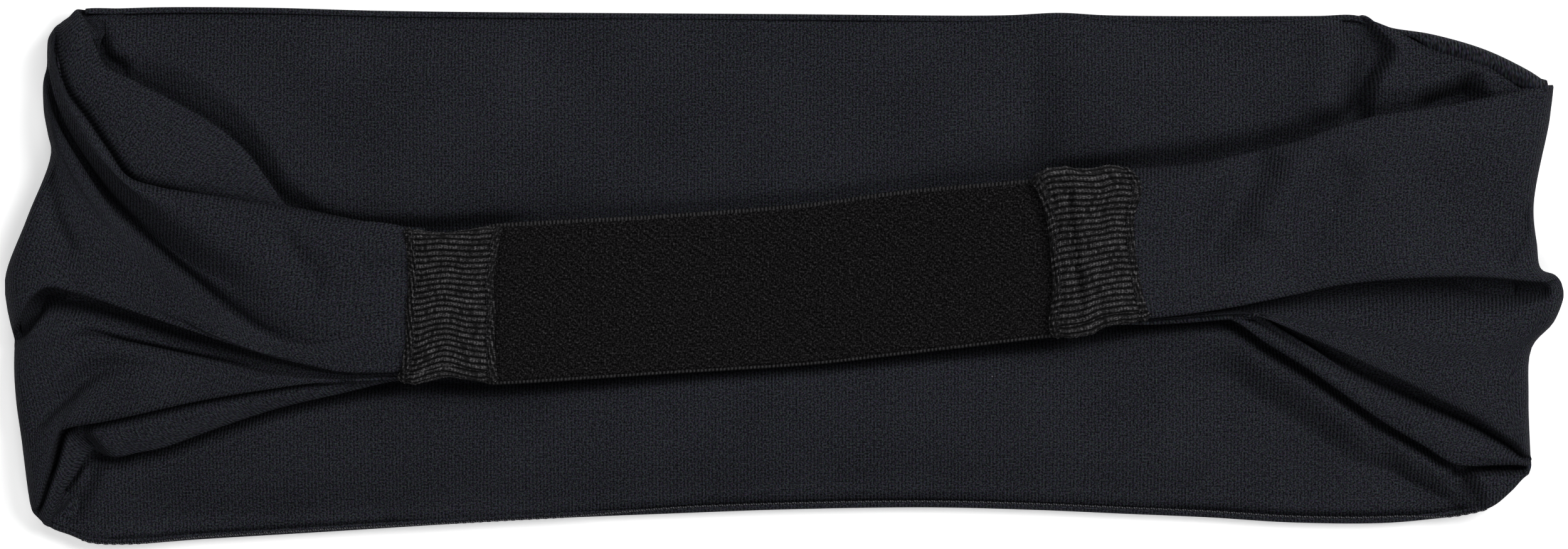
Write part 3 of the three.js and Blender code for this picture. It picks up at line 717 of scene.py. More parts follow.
# Each wing is one sheet. It is described by guide lines that run from the cover to the turned-over end,
# in order from the crown edge to the brow edge: fold edges, ridges and valleys. Each guide holds its
# points on top of the wing, the point where it crosses the wing's outermost line, and the number of
# steps from it to the next guide.
LEFT_GUIDES = [
    # crown edge of the tube, in part hidden under the upper pleat
    ([(-57, 6.4, 7.6), (-70, 7.9, 6.8), (-79, 10.9, 5.5), (-81.8, 14.5, 4.9), (-85.4, 19.3, 4.6),
      (-90, 23.4, 4.6), (-97.4, 27.7, 4.8), (-104.1, 31.1, 5.2), (-108.0, 33.1, 5.6), (-109.3, 35.8, 5.9),
      (-110.5, 38.6, 5.7), (-111.9, 41.2, 4.8)], (-112.8, 42.2), 10),
    ([(-57, 6.8, 7.8), (-70, 8.1, 7.0), (-79, 10.2, 5.8), (-83.5, 13, 5.5), (-88, 16.5, 5.6),
      (-94, 20.5, 5.8), (-102, 24.5, 6.2), (-108, 28, 6.6), (-111.4, 32.5, 6.6), (-113.0, 37, 6.8),
      (-113.5, 39.8, 5.7)], (-114.1, 41.0), 8),
    ([(-57, 6.9, 7.9), (-70, 8.2, 6.9), (-80, 10.2, 5.5), (-91, 12.4, 5.2), (-97, 14.0, 5.4),
      (-102.5, 15.6, 5.6), (-106.4, 20.4, 5.9), (-110.0, 25.7, 6.1), (-112.8, 29.4, 6.2),
      (-114.4, 33.2, 6.2), (-115.2, 36.2, 5.9), (-115.2, 38.4, 5.3)], (-115.1, 40.3), 4),
    # crease between that facet and the pleat over it
    ([(-57, 7.0, 7.8), (-70, 8.1, 6.6), (-80, 9.8, 4.6), (-91, 11.4, 3.4), (-98, 12.9, 2.9),
      (-103.9, 14.6, 3.6), (-107.6, 19.8, 4.2), (-111.2, 25.0, 4.6), (-114.0, 28.7, 4.8),
      (-115.6, 32.9, 4.9), (-116.2, 36.0, 4.9), (-116.0, 38.4, 4.7)], (-115.8, 39.8), 3),
    ([(-57, 5.6, 9.3), (-60.8, 7.7, 9.1), (-70.2, 8.9, 8.4), (-79, 10.6, 7.6), (-91.3, 12.6, 7.1),
      (-99.6, 14.0, 7.0), (-104.2, 15.6, 7.2), (-107.2, 19.4, 7.6), (-110.8, 24.6, 7.8),
      (-113.6, 28.4, 7.5), (-115.3, 32.6, 7.0), (-116.0, 36.0, 6.4), (-116.0, 38.2, 5.8)],
     (-116.3, 39.3), 5),
    ([(-57, 5.8, 9.9), (-70, 6.6, 9.7), (-80, 8.2, 9.2), (-90, 9.8, 8.8), (-98, 11.6, 8.6),
      (-104.0, 14.2, 8.4), (-108.4, 19.0, 8.4), (-111.8, 24.2, 8.3), (-114.5, 29.0, 7.9),
      (-116.0, 33.4, 7.2), (-116.5, 36.2, 6.4)], (-117.2, 37.8), 8),
    ([(-57, 1.0, 10.0), (-70, 1.6, 9.9), (-80, 2.6, 9.6), (-90, 4.8, 9.0), (-97, 8.6, 8.2),
      (-103.0, 12.6, 7.8), (-108.0, 17.4, 7.9), (-111.8, 22.6, 7.9), (-114.6, 27.6, 7.5),
      (-116.2, 32.0, 6.8), (-116.7, 34.6, 6.2)], (-117.4, 36.0), 5),
    # the long groove: a second crease that becomes the upper pleat's edge, then the hollow
    ([(-57, -6.3, 9.9), (-68, -7.0, 9.8), (-76, -6.2, 9.4), (-82, -4.2, 8.4), (-85.7, -2.5, 7.2),
      (-88.6, -0.9, 6.3), (-92, 0.7, 5.5), (-94.9, 2.4, 5.0), (-98.3, 5.0, 4.7), (-101.2, 7.4, 4.6),
      (-105.4, 11.4, 4.8), (-109.0, 15.8, 5.4), (-112.0, 20.2, 6.0), (-114.0, 23.6, 6.3),
      (-115.7, 27.4, 6.4), (-116.6, 30.8, 6.2), (-116.9, 33.0, 5.8)], (-117.4, 34.5), 3),
    ([(-57, -7.0, 9.9), (-68, -8.2, 9.7), (-76, -8.4, 9.0), (-82, -6.8, 7.8), (-87.2, -3.6, 6.4),
      (-92.2, -0.4, 5.3), (-98.2, 4.2, 4.5), (-103, 8.4, 4.0), (-107.2, 12.6, 3.5), (-110.2, 16.6, 3.2),
      (-113.0, 21.0, 3.2), (-114.8, 24.6, 3.4), (-116.2, 28.6, 3.7), (-116.9, 31.6, 4.1)],
     (-117.5, 33.4), 3),
    ([(-57, -7.6, 9.9), (-68, -9.4, 9.6), (-76, -10.7, 8.4), (-82, -9.3, 6.6), (-87.6, -6.0, 5.2),
      (-92.5, -2.2, 4.2), (-98.2, 2.6, 3.6), (-103.4, 7.1, 3.2), (-107.5, 10.8, 3.0),
      (-111.5, 16.5, 3.1), (-114.2, 21.2, 3.4), (-116.2, 25.8, 4.3), (-117.2, 29.6, 4.9)],
     (-117.8, 32.0), 3),
    ([(-57, -8.3, 9.9), (-68, -10.0, 9.8), (-76, -11.0, 9.4), (-82, -9.3, 9.0), (-87.5, -6.0, 8.6),
      (-92.3, -2.1, 8.3), (-98.0, 2.7, 8.0), (-103.2, 7.2, 7.8), (-107.2, 11.1, 7.6),
      (-111.2, 16.8, 7.1), (-114.0, 21.2, 6.5), (-116.2, 25.2, 6.0), (-117.3, 28.4, 5.7)],
     (-118.1, 30.2), 3),
    ([(-57, -9.4, 9.9), (-68, -11.2, 9.9), (-76, -12.2, 9.7), (-82.8, -10.6, 9.4), (-88.6, -7.2, 9.2),
      (-93.5, -3.5, 9.0), (-99.2, 1.4, 8.8), (-104.4, 5.9, 8.5), (-108.5, 9.9, 8.3),
      (-112.5, 15.4, 7.8), (-115.0, 20.0, 7.2), (-116.6, 24.0, 6.6)], (-118.0, 26.4), 4),
    ([(-57, -10, 9.9), (-69, -12.0, 9.8), (-77, -12.7, 9.6), (-84.4, -11.0, 9.3), (-91, -7.0, 9.1),
      (-96.5, -2.4, 8.9), (-101.8, 2.2, 8.7), (-106.5, 6.6, 8.4), (-110.5, 11.4, 8.0),
      (-113.8, 16.4, 7.4), (-116.0, 20.8, 6.7)], (-117.3, 22.4), 4),
    ([(-57, -10.6, 9.9), (-70, -12.6, 9.8), (-78, -13.1, 9.5), (-86, -11.2, 9.2), (-93, -6.8, 9.0),
      (-99, -1.4, 8.8), (-104, 2.6, 8.6), (-108.4, 6.0, 8.2), (-112.2, 10.4, 7.8), (-114.6, 15.0, 7.2),
      (-115.7, 18.0, 6.6)], (-116.8, 19.5), 7),
    ([(-57, -12.6, 9.7), (-70, -13.8, 9.6), (-80, -13.2, 9.2), (-90, -9.8, 8.9), (-100, -5.0, 8.7),
      (-108, 0.2, 8.3), (-112.5, 4.0, 7.9), (-115.6, 6.8, 7.5), (-118.4, 8.6, 7.0), (-119.7, 9.4, 6.2)],
     (-120.6, 9.0), 8),
    ([(-57, -14.2, 9.6), (-70.2, -14.9, 9.4), (-80.9, -12.8, 9.1), (-89.6, -9.6, 8.9), (-97.2, -6.8, 8.6),
      (-104.8, -4.0, 8.5), (-112.4, -1.2, 8.5), (-118.5, 0.0, 8.1), (-122.4, -0.6, 6.9)],
     (-124.2, -0.9), 4),
    # lower lip of the main pleat, turned under, and the hollow beneath
    ([(-57, -14.8, 9.4), (-61.6, -15.4, 9.3), (-70.2, -15.4, 9.1), (-74.8, -14.5, 9.0),
      (-80.9, -13.1, 8.9), (-89.6, -10.4, 8.7), (-97.2, -7.9, 8.4), (-104.8, -5.4, 8.1),
      (-112.4, -2.9, 8.3), (-117.0, -2.0, 8.3), (-119.6, -3.8, 8.0), (-121.4, -6.9, 7.1)],
     (-122.9, -9.4), 3),
    ([(-57, -15.0, 9.0), (-61.6, -15.5, 8.5), (-70.2, -15.2, 7.6), (-80.9, -12.7, 6.8),
      (-89.6, -9.9, 6.4), (-97.2, -7.3, 6.1), (-104.8, -4.8, 5.9), (-112.4, -2.8, 5.7),
      (-117.2, -2.1, 5.5), (-119.8, -3.9, 5.2), (-121.5, -7.0, 4.6)], (-122.8, -9.9), 3),
    ([(-57, -15.2, 8.5), (-61.6, -15.4, 8.0), (-70.2, -14.9, 7.2), (-80.9, -12.0, 5.4),
      (-89.6, -9.0, 3.6), (-97.2, -6.4, 3.2), (-104.8, -4.2, 3.0), (-112.4, -2.8, 2.9),
      (-116.8, -2.6, 2.6), (-119.3, -4.5, 2.5), (-121.2, -7.5, 2.7)], (-122.7, -10.3), 3),
    ([(-57, -15.5, 8.4), (-70.2, -15.7, 7.4), (-80.9, -13.3, 5.8), (-89.6, -10.9, 4.4),
      (-97.2, -8.7, 3.6), (-104.8, -6.3, 3.5), (-112.4, -4.6, 3.4), (-117.2, -4.9, 3.4),
      (-118.8, -6.6, 3.0), (-120.6, -9.0, 3.2)], (-122.7, -10.7), 3),
    ([(-57, -15.6, 8.4), (-70.2, -16.0, 7.6), (-80.9, -14.1, 6.4), (-89.6, -11.9, 5.4),
      (-97.2, -9.9, 4.9), (-104.8, -7.7, 4.9), (-112.4, -6.0, 5.1), (-117.0, -6.2, 5.8),
      (-118.9, -7.9, 6.1), (-120.7, -10.1, 5.9)], (-122.7, -11.1), 4),
    # a thin crease along the lower pleat
    ([(-57, -15.7, 8.4), (-70.2, -16.2, 7.4), (-80.9, -14.8, 6.5), (-89.7, -13.1, 5.6),
      (-97.2, -11.5, 5.4), (-104.8, -9.8, 5.4), (-110.4, -8.2, 5.8), (-114.5, -7.4, 6.3),
      (-117.4, -8.6, 6.5), (-119.6, -10.4, 6.5), (-121.4, -12.0, 6.0)], (-122.7, -12.4), 3),
    ([(-57, -15.9, 8.3), (-70.2, -16.5, 7.6), (-80.9, -15.5, 6.7), (-89.7, -13.8, 4.9),
      (-97.2, -12.2, 4.3), (-104.8, -10.6, 4.3), (-110.4, -9.2, 5.3), (-114, -9.0, 6.4),
      (-117.5, -10.2, 6.6), (-120.2, -12.6, 6.5), (-121.8, -14.4, 6.0)], (-122.7, -14.8), 3),
    ([(-57, -16, 8.4), (-70.2, -16.6, 8.0), (-80.9, -15.8, 7.5), (-89.7, -13.9, 7.1),
      (-97.2, -12.3, 6.9), (-104.8, -10.7, 6.9), (-110.4, -9.6, 6.9), (-114, -10.2, 7.0),
      (-117.4, -12.2, 6.9), (-120.2, -14.8, 6.6), (-121.8, -16.8, 6.0)], (-122.6, -17.2), 5),
    ([(-57, -16.2, 8.3), (-70.2, -16.8, 8.0), (-80.9, -16.0, 7.8), (-90, -15.2, 7.6),
      (-97.2, -14.3, 7.5), (-104.2, -12.9, 7.4), (-109.6, -12.8, 7.2), (-114.6, -15.4, 7.1),
      (-118.8, -18.6, 7.0), (-121.2, -20.6, 6.2)], (-122.3, -21.0), 5),
    # soft ripple down towards the end
    ([(-57, -16.25, 8.3), (-70.2, -17, 8.0), (-80.9, -16.2, 7.8), (-90, -16.0, 7.7), (-98, -15.6, 7.4),
      (-105.4, -14.4, 6.7), (-110.2, -16.0, 5.7), (-113.8, -19.2, 5.5), (-117.2, -22.2, 5.7),
      (-120.6, -24.6, 5.6)], (-121.7, -25.2), 4),
    ([(-57, -16.3, 8.3), (-70, -17.0, 8.0), (-80.9, -16.7, 7.8), (-90, -17.0, 7.8), (-97.2, -16.8, 7.8),
      (-104.4, -16.4, 7.6), (-109.6, -17.8, 7.5), (-113.6, -21.0, 7.4), (-117.2, -24.4, 7.2),
      (-120.0, -28.0, 6.3)], (-121.2, -29), 5),
    # lower lip of the lower pleat, which turns down into the roll at the corner
    ([(-57, -16.4, 8.2), (-62.5, -16.6, 8.0), (-74.8, -17.3, 7.6), (-80.9, -18.1, 7.2),
      (-92.9, -20.1, 6.8), (-102.9, -22.3, 6.6), (-108.6, -23.5, 6.6), (-113, -24.2, 6.8),
      (-115.2, -25.0, 7.0), (-115.9, -27.4, 6.9), (-116.6, -30.4, 6.7), (-117.7, -33.4, 6.4),
      (-118.9, -36.6, 5.4)], (-119.9, -37.6), 3),
    ([(-57, -16.3, 7.8), (-62.5, -16.2, 6.9), (-74.8, -16.6, 5.0), (-92.9, -19.3, 3.6),
      (-102.9, -21.5, 3.1), (-108.6, -22.8, 2.9), (-113.2, -23.8, 2.9), (-115.1, -25.2, 2.9),
      (-115.5, -27.6, 2.8), (-116.2, -30.4, 2.8), (-117.2, -33.2, 2.8), (-118.4, -36.6, 2.9)],
     (-119.3, -38.4), 3),
    ([(-57, -16.6, 7.6), (-65, -16.9, 7.1), (-77, -18.3, 6.4), (-92.9, -21.1, 5.6), (-102.9, -23.4, 5.3),
      (-109.6, -24.9, 5.2), (-112.2, -25.0, 3.2), (-113.7, -26.0, 5.9), (-114.5, -28.2, 6.7),
      (-115.3, -30.8, 6.6), (-116.5, -33.8, 6.1), (-117.9, -37.2, 4.9)], (-118.7, -39), 5),
    ([(-57, -16.7, 7.4), (-65, -17.1, 6.9), (-77, -19.4, 6.3), (-91, -23.0, 5.8), (-99, -25.2, 5.6),
      (-104.6, -26.9, 5.5), (-108.4, -27.2, 5.2), (-110.5, -26.7, 2.9), (-112.0, -27.4, 5.2),
      (-113.0, -29.6, 6.0), (-114.4, -32.4, 5.8), (-116, -36, 5.0), (-117.2, -38.6, 4.2)],
     (-118.0, -39.8), 5),
    # brow edge of the tube
    ([(-57, -16.8, 7.0), (-61.5, -16.9, 6.8), (-69.9, -18.8, 6.0), (-80.8, -21.4, 5.3),
      (-91.4, -24.9, 5.0), (-98.6, -27.5, 4.8), (-102.9, -28.4, 4.8), (-106.6, -29.1, 4.6),
      (-108.4, -28.6, 3.9), (-109.8, -28.0, 2.8), (-110.9, -28.7, 4.3), (-112.6, -31.5, 4.8),
      (-115, -35, 4.5), (-116.6, -38.4, 4.1)], (-117.3, -40.1), 0),
]

RIGHT_GUIDES = [
    # crown edge of the tube
    ([(53, 16.5, 7.8), (56, 16.9, 7.7), (65, 17.5, 7.5), (73, 19.2, 7.3), (81, 21.0, 7.1),
      (88.9, 23.8, 7.0), (95, 25.4, 6.9), (102.3, 26.4, 6.9), (109.1, 27.6, 6.8), (114.7, 28.7, 6.6),
      (119.4, 29.7, 6.2), (121.4, 30, 5.6)], (122.6, 30.2), 8),
    ([(53, 15, 9.6), (65, 15.2, 9.5), (73, 16.2, 9.3), (81, 17.9, 9.1), (88.9, 19.9, 8.9),
      (95, 21.4, 8.7), (102.3, 22.2, 8.5), (109.1, 23.2, 8.2), (114.7, 24.2, 7.7), (120.4, 24.8, 6.4)],
     (122.1, 25.0), 12),
    ([(53, 8.5, 10.0), (65, 8.8, 9.9), (75, 10.2, 9.5), (85, 11.8, 9.2), (95, 13.4, 8.9),
      (105, 14, 8.4), (112, 13.6, 7.8), (116.6, 12.4, 7.0), (118.4, 11.6, 6.1)], (119.5, 11.1), 12),
    ([(53, 0, 10.0), (65, 0.4, 9.9), (75, 2, 9.6), (85, 3.8, 9.3), (95, 4.8, 9.0), (105, 5.0, 8.7),
      (112, 5, 8.2), (118.4, 5, 6.9)], (120.0, 4.9), 10),
    ([(53, -5.2, 9.9), (65, -4.2, 9.8), (75, -2.6, 9.6), (85, -0.9, 9.4), (95, 0.4, 9.1),
      (105, 1.0, 8.8), (112, 1.0, 8.4), (117, 0.9, 7.6), (119.2, 0.9, 6.7)], (120.7, 0.9), 5),
    # lower lip of the main pleat, and the pocket under it
    ([(53, -7.0, 9.5), (58.2, -6.9, 9.4), (65, -6.1, 9.2), (71, -5.2, 9.1), (81, -3.2, 8.9),
      (88.3, -1.7, 8.7), (98.3, -0.7, 8.5), (106.4, -0.4, 8.2), (111.6, -0.5, 8.0), (115.3, -0.8, 7.6),
      (119.5, -1.2, 6.6), (121.4, -1.2, 6.0)], (123.0, -0.1), 3),
    ([(53, -7.1, 8.9), (58.2, -6.8, 8.3), (65, -5.8, 7.6), (71, -4.8, 7.1), (81, -2.7, 6.6),
      (88.3, -1.2, 6.2), (98.3, -0.2, 5.8), (106.4, 0.1, 5.4), (112, -0.2, 5.2), (117, -0.7, 5.0),
      (121.2, -1.0, 4.6)], (123.9, -1.2), 3),
    ([(53, -7.1, 8.4), (58.2, -6.6, 7.6), (65, -5.4, 6.2), (71, -4.2, 5.2), (81, -2.2, 4.2),
      (90.2, -0.7, 3.6), (99.4, -0.2, 2.9), (107.9, -0.4, 2.5), (112, -0.9, 2.5), (117, -1.5, 2.5),
      (120.4, -1.8, 3.0), (122.3, -2.0, 5.3)], (124.2, -2.2), 4),
    ([(53, -7.2, 8.4), (65, -5.9, 6.9), (71, -5.0, 6.0), (81, -3.8, 4.9), (90.2, -2.8, 4.2),
      (99.4, -2.3, 3.5), (107.9, -2.3, 3.1), (113, -2.7, 2.9), (118, -3.1, 3.0), (120.6, -3.2, 3.6),
      (122.4, -3.1, 5.4)], (124.3, -3.0), 4),
    ([(53, -7.4, 8.4), (65, -6.3, 7.3), (71, -5.7, 6.9), (81, -5.4, 6.6), (90.2, -5.6, 6.5),
      (99.4, -6.0, 6.4), (107.9, -6.2, 6.2), (114, -5.6, 6.3), (119.4, -4.5, 6.4), (122.6, -4.1, 5.8)],
     (124.2, -4.0), 6),
    ([(53, -7.5, 8.4), (65, -6.5, 7.8), (72, -5.9, 7.6), (81, -6.8, 7.6), (90.2, -8.4, 7.5),
      (99.4, -10.0, 7.4), (107.9, -10.9, 7.2), (114, -10.6, 6.9), (118.6, -9.0, 6.5),
      (121.4, -7.8, 5.9)], (122.7, -7.6), 5),
    ([(53, -7.6, 8.4), (65, -6.55, 7.85), (72.6, -6.1, 7.7), (81.6, -7.6, 7.65), (90.2, -9.8, 7.6),
      (99.4, -12.2, 7.5), (107.9, -13.8, 7.3), (113.4, -13.6, 7.0), (117.8, -12.0, 6.2)],
     (119.2, -11.6), 5),
    ([(53, -7.65, 8.4), (65, -6.6, 7.9), (73, -6.2, 7.8), (82, -8.3, 7.7), (90.2, -11.4, 7.7),
      (99.4, -14.8, 7.6), (107.9, -17.6, 7.5), (113.4, -19.2, 7.2), (117.2, -19.6, 6.3)],
     (118.7, -19.6), 7),
    # lip of the second pleat, and the valley under it
    ([(53, -7.7, 8.4), (65, -6.7, 7.8), (72, -6.3, 7.7), (75, -6.5, 7.7), (78.2, -7.7, 7.6),
      (81.4, -9.1, 7.6), (86.8, -11.5, 7.5), (92.5, -14.2, 7.4), (98.3, -16.9, 7.3), (104, -19.8, 7.1),
      (109.7, -22.6, 6.9), (113.6, -25.1, 6.7), (116.4, -26.9, 6.3), (117.9, -28.4, 5.6)],
     (119.0, -28.7), 3),
    ([(53, -7.7, 7.9), (65, -6.5, 6.8), (72, -6.0, 5.9), (75, -6.1, 5.4), (81.4, -8.4, 4.4),
      (86.8, -10.8, 3.9), (92.5, -13.5, 3.6), (98.3, -16.2, 3.4), (104, -19.2, 3.2), (109.7, -22.1, 3.1),
      (113.6, -24.8, 3.1), (116.2, -26.8, 3.3), (117.8, -28.6, 3.5)], (119.2, -29.4), 4),
    ([(53, -7.75, 7.8), (65, -6.7, 7.0), (72, -6.4, 6.2), (76, -7.4, 5.4), (81, -9.8, 4.2),
      (86.4, -12.6, 3.7), (92, -15.6, 3.4), (97.8, -18.4, 3.3), (103.6, -21.0, 3.2), (109.3, -23.5, 3.2),
      (113.2, -25.7, 3.3), (116, -27.5, 3.4), (117.6, -28.9, 3.6)], (119.1, -29.7), 3),
    ([(53, -7.8, 7.75), (65, -6.8, 7.1), (72, -6.8, 6.8), (76.4, -8.8, 6.6), (81.4, -11.5, 6.3),
      (86.6, -14.3, 6.1), (92.2, -17.2, 5.9), (98, -19.9, 5.7), (103.8, -22.4, 5.5), (109.4, -24.7, 5.2),
      (113.4, -26.7, 4.9), (116.2, -28.2, 4.5), (117.6, -29.3, 4.2)], (119.0, -30.0), 3),
    ([(53, -7.8, 7.7), (65, -6.9, 7.2), (72, -7.0, 6.9), (78, -10.4, 6.9), (84, -14.4, 6.8),
      (90.2, -18.3, 6.7), (97, -22.3, 6.5), (103, -25.7, 6.3), (108, -28.1, 6.1), (112.5, -28.9, 5.7),
      (117.2, -29.5, 4.9)], (118.9, -30.2), 5),
    # brow edge of the tube
    ([(53, -7.9, 7.2), (65, -7.1, 6.9), (71, -7.2, 6.7), (76.5, -10.8, 6.3), (83, -14.8, 6.1),
      (86.8, -17.4, 6.0), (91.8, -21.0, 5.9), (96.4, -24.1, 5.7), (102.1, -27.4, 5.5),
      (106.6, -30.1, 5.3), (109.6, -30.5, 5.0), (113.4, -30.4, 4.7), (117.3, -30.4, 4.3)],
     (118.7, -30.7), 0),
]

# Soft creases pressed into the wings: each is a line in plan, a depth, and a width on either side.
WING_CREASES = {
    "left": [
        ([(-117.2, 19.6), (-115.9, 10.1), (-114.1, 5.8), (-111.4, 2.6)], 1.1, 0.9, 2.2),
        ([(-68, 1.7), (-64, 0.9), (-58, 0.75)], 0.7, 0.5, 0.9),
        ([(-80.5, 8), (-77, 2.5), (-72, -2)], 1.0, 1.8, 3.0),
    ],
    "right": [
        ([(78, 21), (72.5, 13.5), (68.5, 6), (66.5, 0)], 2.3, 3.6, 3.2),
        ([(83, 20), (79, 12.5), (75, 5)], -1.1, 2.5, 2.8),
        ([(90, 19), (86, 11), (82, 3)], 1.1, 3.0, 3.0),
        ([(120.4, 11.4), (118.2, 7.8), (116.2, 4.1), (113.6, 0.4)], 0.9, 0.8, 1.7),
    ],
}

WING_TOP_ROWS = 190  # along a wing, from the cover to the turned-over end
WING_TURN_ROWS = 34
WING_TOP_LENGTH = 64
WING_TURN_LENGTH = 15
PER_GAP = 14  # points between two knots of a guide
HEM = [(0.5, -0.75), (1.4, -1.05), (3.2, -0.95)]  # the tube's fold: inwards and down from its edge


def guide_rows(points, outline, side):
    """One guide as evenly spaced rows: along the top, then round the end and back under it."""
    x, y = outline
    turn = [(x, y, END_HEIGHT), (x - side * 1.5, y, 1.3), (x - side * 4.5, y * 0.995, 0.95),
            (x - side * 9, y * 0.99, 0.9)]
    line = smooth_line([*points, *turn], PER_GAP)
    top_end = PER_GAP * (len(points) - 1)
    return np.concatenate([evenly(line[:top_end + 1], WING_TOP_ROWS),
                           evenly(line[top_end:], WING_TURN_ROWS + 1)[1:]])


def hem_rows(edge, side, inward, down):
    """An edge guide copied inwards and down, to where the tube's fold turns the cloth under. side is 1
    when the cloth lies to the left of the guide's direction, and -1 when it lies to the right."""
    along = np.gradient(edge[:, :2], axis=0)
    normal = unit(np.stack([-along[:, 1], along[:, 0]], 1) * side)
    turned = smoothstep((np.arange(len(edge)) - WING_TOP_ROWS) / 14 + 1)[:, None]
    straight_in = np.array([[0, -np.sign(edge[WING_TOP_ROWS, 1])]])
    inwards = normal * (1 - turned) + straight_in * turned
    moved = edge.copy()
    moved[:, :2] += inwards * inward
    moved[:, 0] -= np.sign(edge[:, 0]) * 0.9 * inward * turned[:, 0]
    moved[:, 2] = np.maximum(edge[:, 2] + down * np.clip(edge[:, 2] / END_HEIGHT, 0, 1), 0.8)
    return moved


def wing_surface(guides, side, creases):
    """The wing's outer face as a grid of points, with each point's place on the flat cloth."""
    rows = [guide_rows(points, outline, side) for points, outline, _ in guides]
    crown_hem = [hem_rows(rows[0], -side, *turn) for turn in reversed(HEM)]
    brow_hem = [hem_rows(rows[-1], side, *turn) for turn in HEM]
    steps = [4] * len(HEM) + [step for _, _, step in guides[:-1]] + [4] * len(HEM)
    surface = smooth_through(np.stack(crown_hem + rows + brow_hem, axis=1), steps)
    from_cover = np.linspace(0, WING_TOP_LENGTH, WING_TOP_ROWS)
    away = from_cover[:, None]
    x, y, z = (surface[:WING_TOP_ROWS, :, i] for i in range(3))
    z += 0.3 * lumps(y + 0.12 * away, 0.12 * away, 1.5, 5) * np.exp(-((away / 11) ** 2))  # gathers
    for crease in creases:
        z += fold_in(x, y, *crease)
    across = np.stack([lengths_along(row) for row in surface])
    across -= across[:, across.shape[1] // 2, None]
    turn = WING_TOP_LENGTH + np.linspace(0, WING_TURN_LENGTH, WING_TURN_ROWS + 1)[1:]
    along = np.concatenate([from_cover, turn])[:, None]
    return surface, np.stack(np.broadcast_arrays(along, across), axis=2)


def make_wing(name, guides, side):
    """A wing's two layers. The inner one is softer, and keeps under the folds of the outer one."""
    surface, uv = wing_surface(guides, side, WING_CREASES[name])
    outer = thick_sheet(f"{name}_wing_outer_sheet", surface, uv, WING_OUTER_CLOTH, KNIT_OUTER)
    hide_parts(f"{name}_wing_outer_layer", f"{name}_gathered_end")
    facing = unit(softened(normals_of(surface), 6, 2))
    if facing[:WING_TOP_ROWS, :, 2].mean() < 0:
        facing = -facing
    inner_grid = softened(surface - facing * LAYER_STEP, 4, 2)
    lowest = lowest_near(surface[..., 2], 5) - 0.6
    on_top = smoothstep((WING_TOP_ROWS - 6 - np.arange(len(surface))) / 12)[:, None]
    under_folds = np.minimum(inner_grid[..., 2], np.maximum(lowest, PANEL_TOP + 0.6))
    inner_grid[..., 2] += (under_folds - inner_grid[..., 2]) * on_top
    inner = thick_sheet(f"{name}_wing_inner_sheet", inner_grid[::2, 12:-12:2], uv[::2, 12:-12:2],
                        WING_INNER_CLOTH, KNIT_INNER)
    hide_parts(f"{name}_wing_inner_layer")
    return outer, inner


# ---- nape elastic ----

ELASTIC_CROWN = height_of_line([(-51, 7.4), (-44.2, 8), (-20.4, 9.3), (5, 11.3), (17.3, 13), (38.7, 14.9),
                                (47, 15.6)])
ELASTIC_BROW = height_of_line([(-51, -17.4), (-45.4, -17.3), (-20.4, -15.8), (5, -14.2), (17.3, -12.8),
                               (41.9, -9.9), (47, -9.4)])
ELASTIC_ENDS = (-50.5, 46.5)
ELASTIC_THICKNESS = 1.2
SELVEDGE_WIDTH = 0.4
PICOT_PITCH = 1.15  # of the tiny loops along the crown selvedge


def make_elastic():
    """The strap: pile between two flat selvedges, sagging a little, with narrower ends in the covers."""
    x = np.linspace(*ELASTIC_ENDS, 520)[:, None]
    v = np.linspace(0, 1, 150)[None]
    grip = smoothstep((np.abs(x + 1.5) - 44.5) / 4) * 1.1
    low, high = ELASTIC_BROW(x) + grip, ELASTIC_CROWN(x) - grip
    picot = 0.16 * np.abs(np.sin(x * math.pi / PICOT_PITCH))
    y = low + (high - low) * v + np.where(v > 0.97, picot * (v - 0.97) / 0.03, 0)
    edge = np.minimum(y - low, high - y)
    raised = smoothstep((edge - SELVEDGE_WIDTH) / 0.25)
    pile = 0.055 * lumps(x, y, 0.55, 3) + 0.05 * lumps(x, y, 1.3, 4)
    sag = -3.2 * np.cos(np.clip((x - 0.5) / 47, -1, 1) * math.pi / 2) ** 2
    wave = 0.12 * np.sin(x / 8.5) + 0.1 * np.sin(x / 5 + y / 7)
    groove = -0.12 * np.exp(-(((edge - SELVEDGE_WIDTH) / 0.16) ** 2))
    z = ELASTIC_TOP + sag + wave + raised * (0.05 + pile) - (1 - raised) * 0.3 + groove
    grid = np.stack([np.broadcast_to(x, y.shape), y, z], 2)
    strap = thick_sheet("nape_strap", grid, grid[..., :2], ELASTIC_THICKNESS, ELASTIC)
    strap.data.materials.append(SELVEDGE)
    centre = np.zeros(len(strap.data.polygons) * 3)
    strap.data.polygons.foreach_get("center", centre)
    centre = centre.reshape(-1, 3) / MM
    low, high = ELASTIC_BROW(centre[:, 0]), ELASTIC_CROWN(centre[:, 0])
    near_edge = np.minimum(centre[:, 1] - low, high - centre[:, 1]) < SELVEDGE_WIDTH
    strap.data.polygons.foreach_set("material_index", near_edge.astype(int))
    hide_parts("nape_elastic")
    return strap


# ---- rib-knit covers ----

RIB_PITCH = 0.95  # across the ribs
LOOP_PITCH = 0.42  # along a rib
COVER_WIDTH = 25.0
COVER_WALL = 0.95
COVER_CORNER = 1.9  # radius of the sleeve's corners
STITCH_PITCH = 2.9
STITCH_DEPTH = 0.62  # from the highest ribs down to the middle of a stitch row

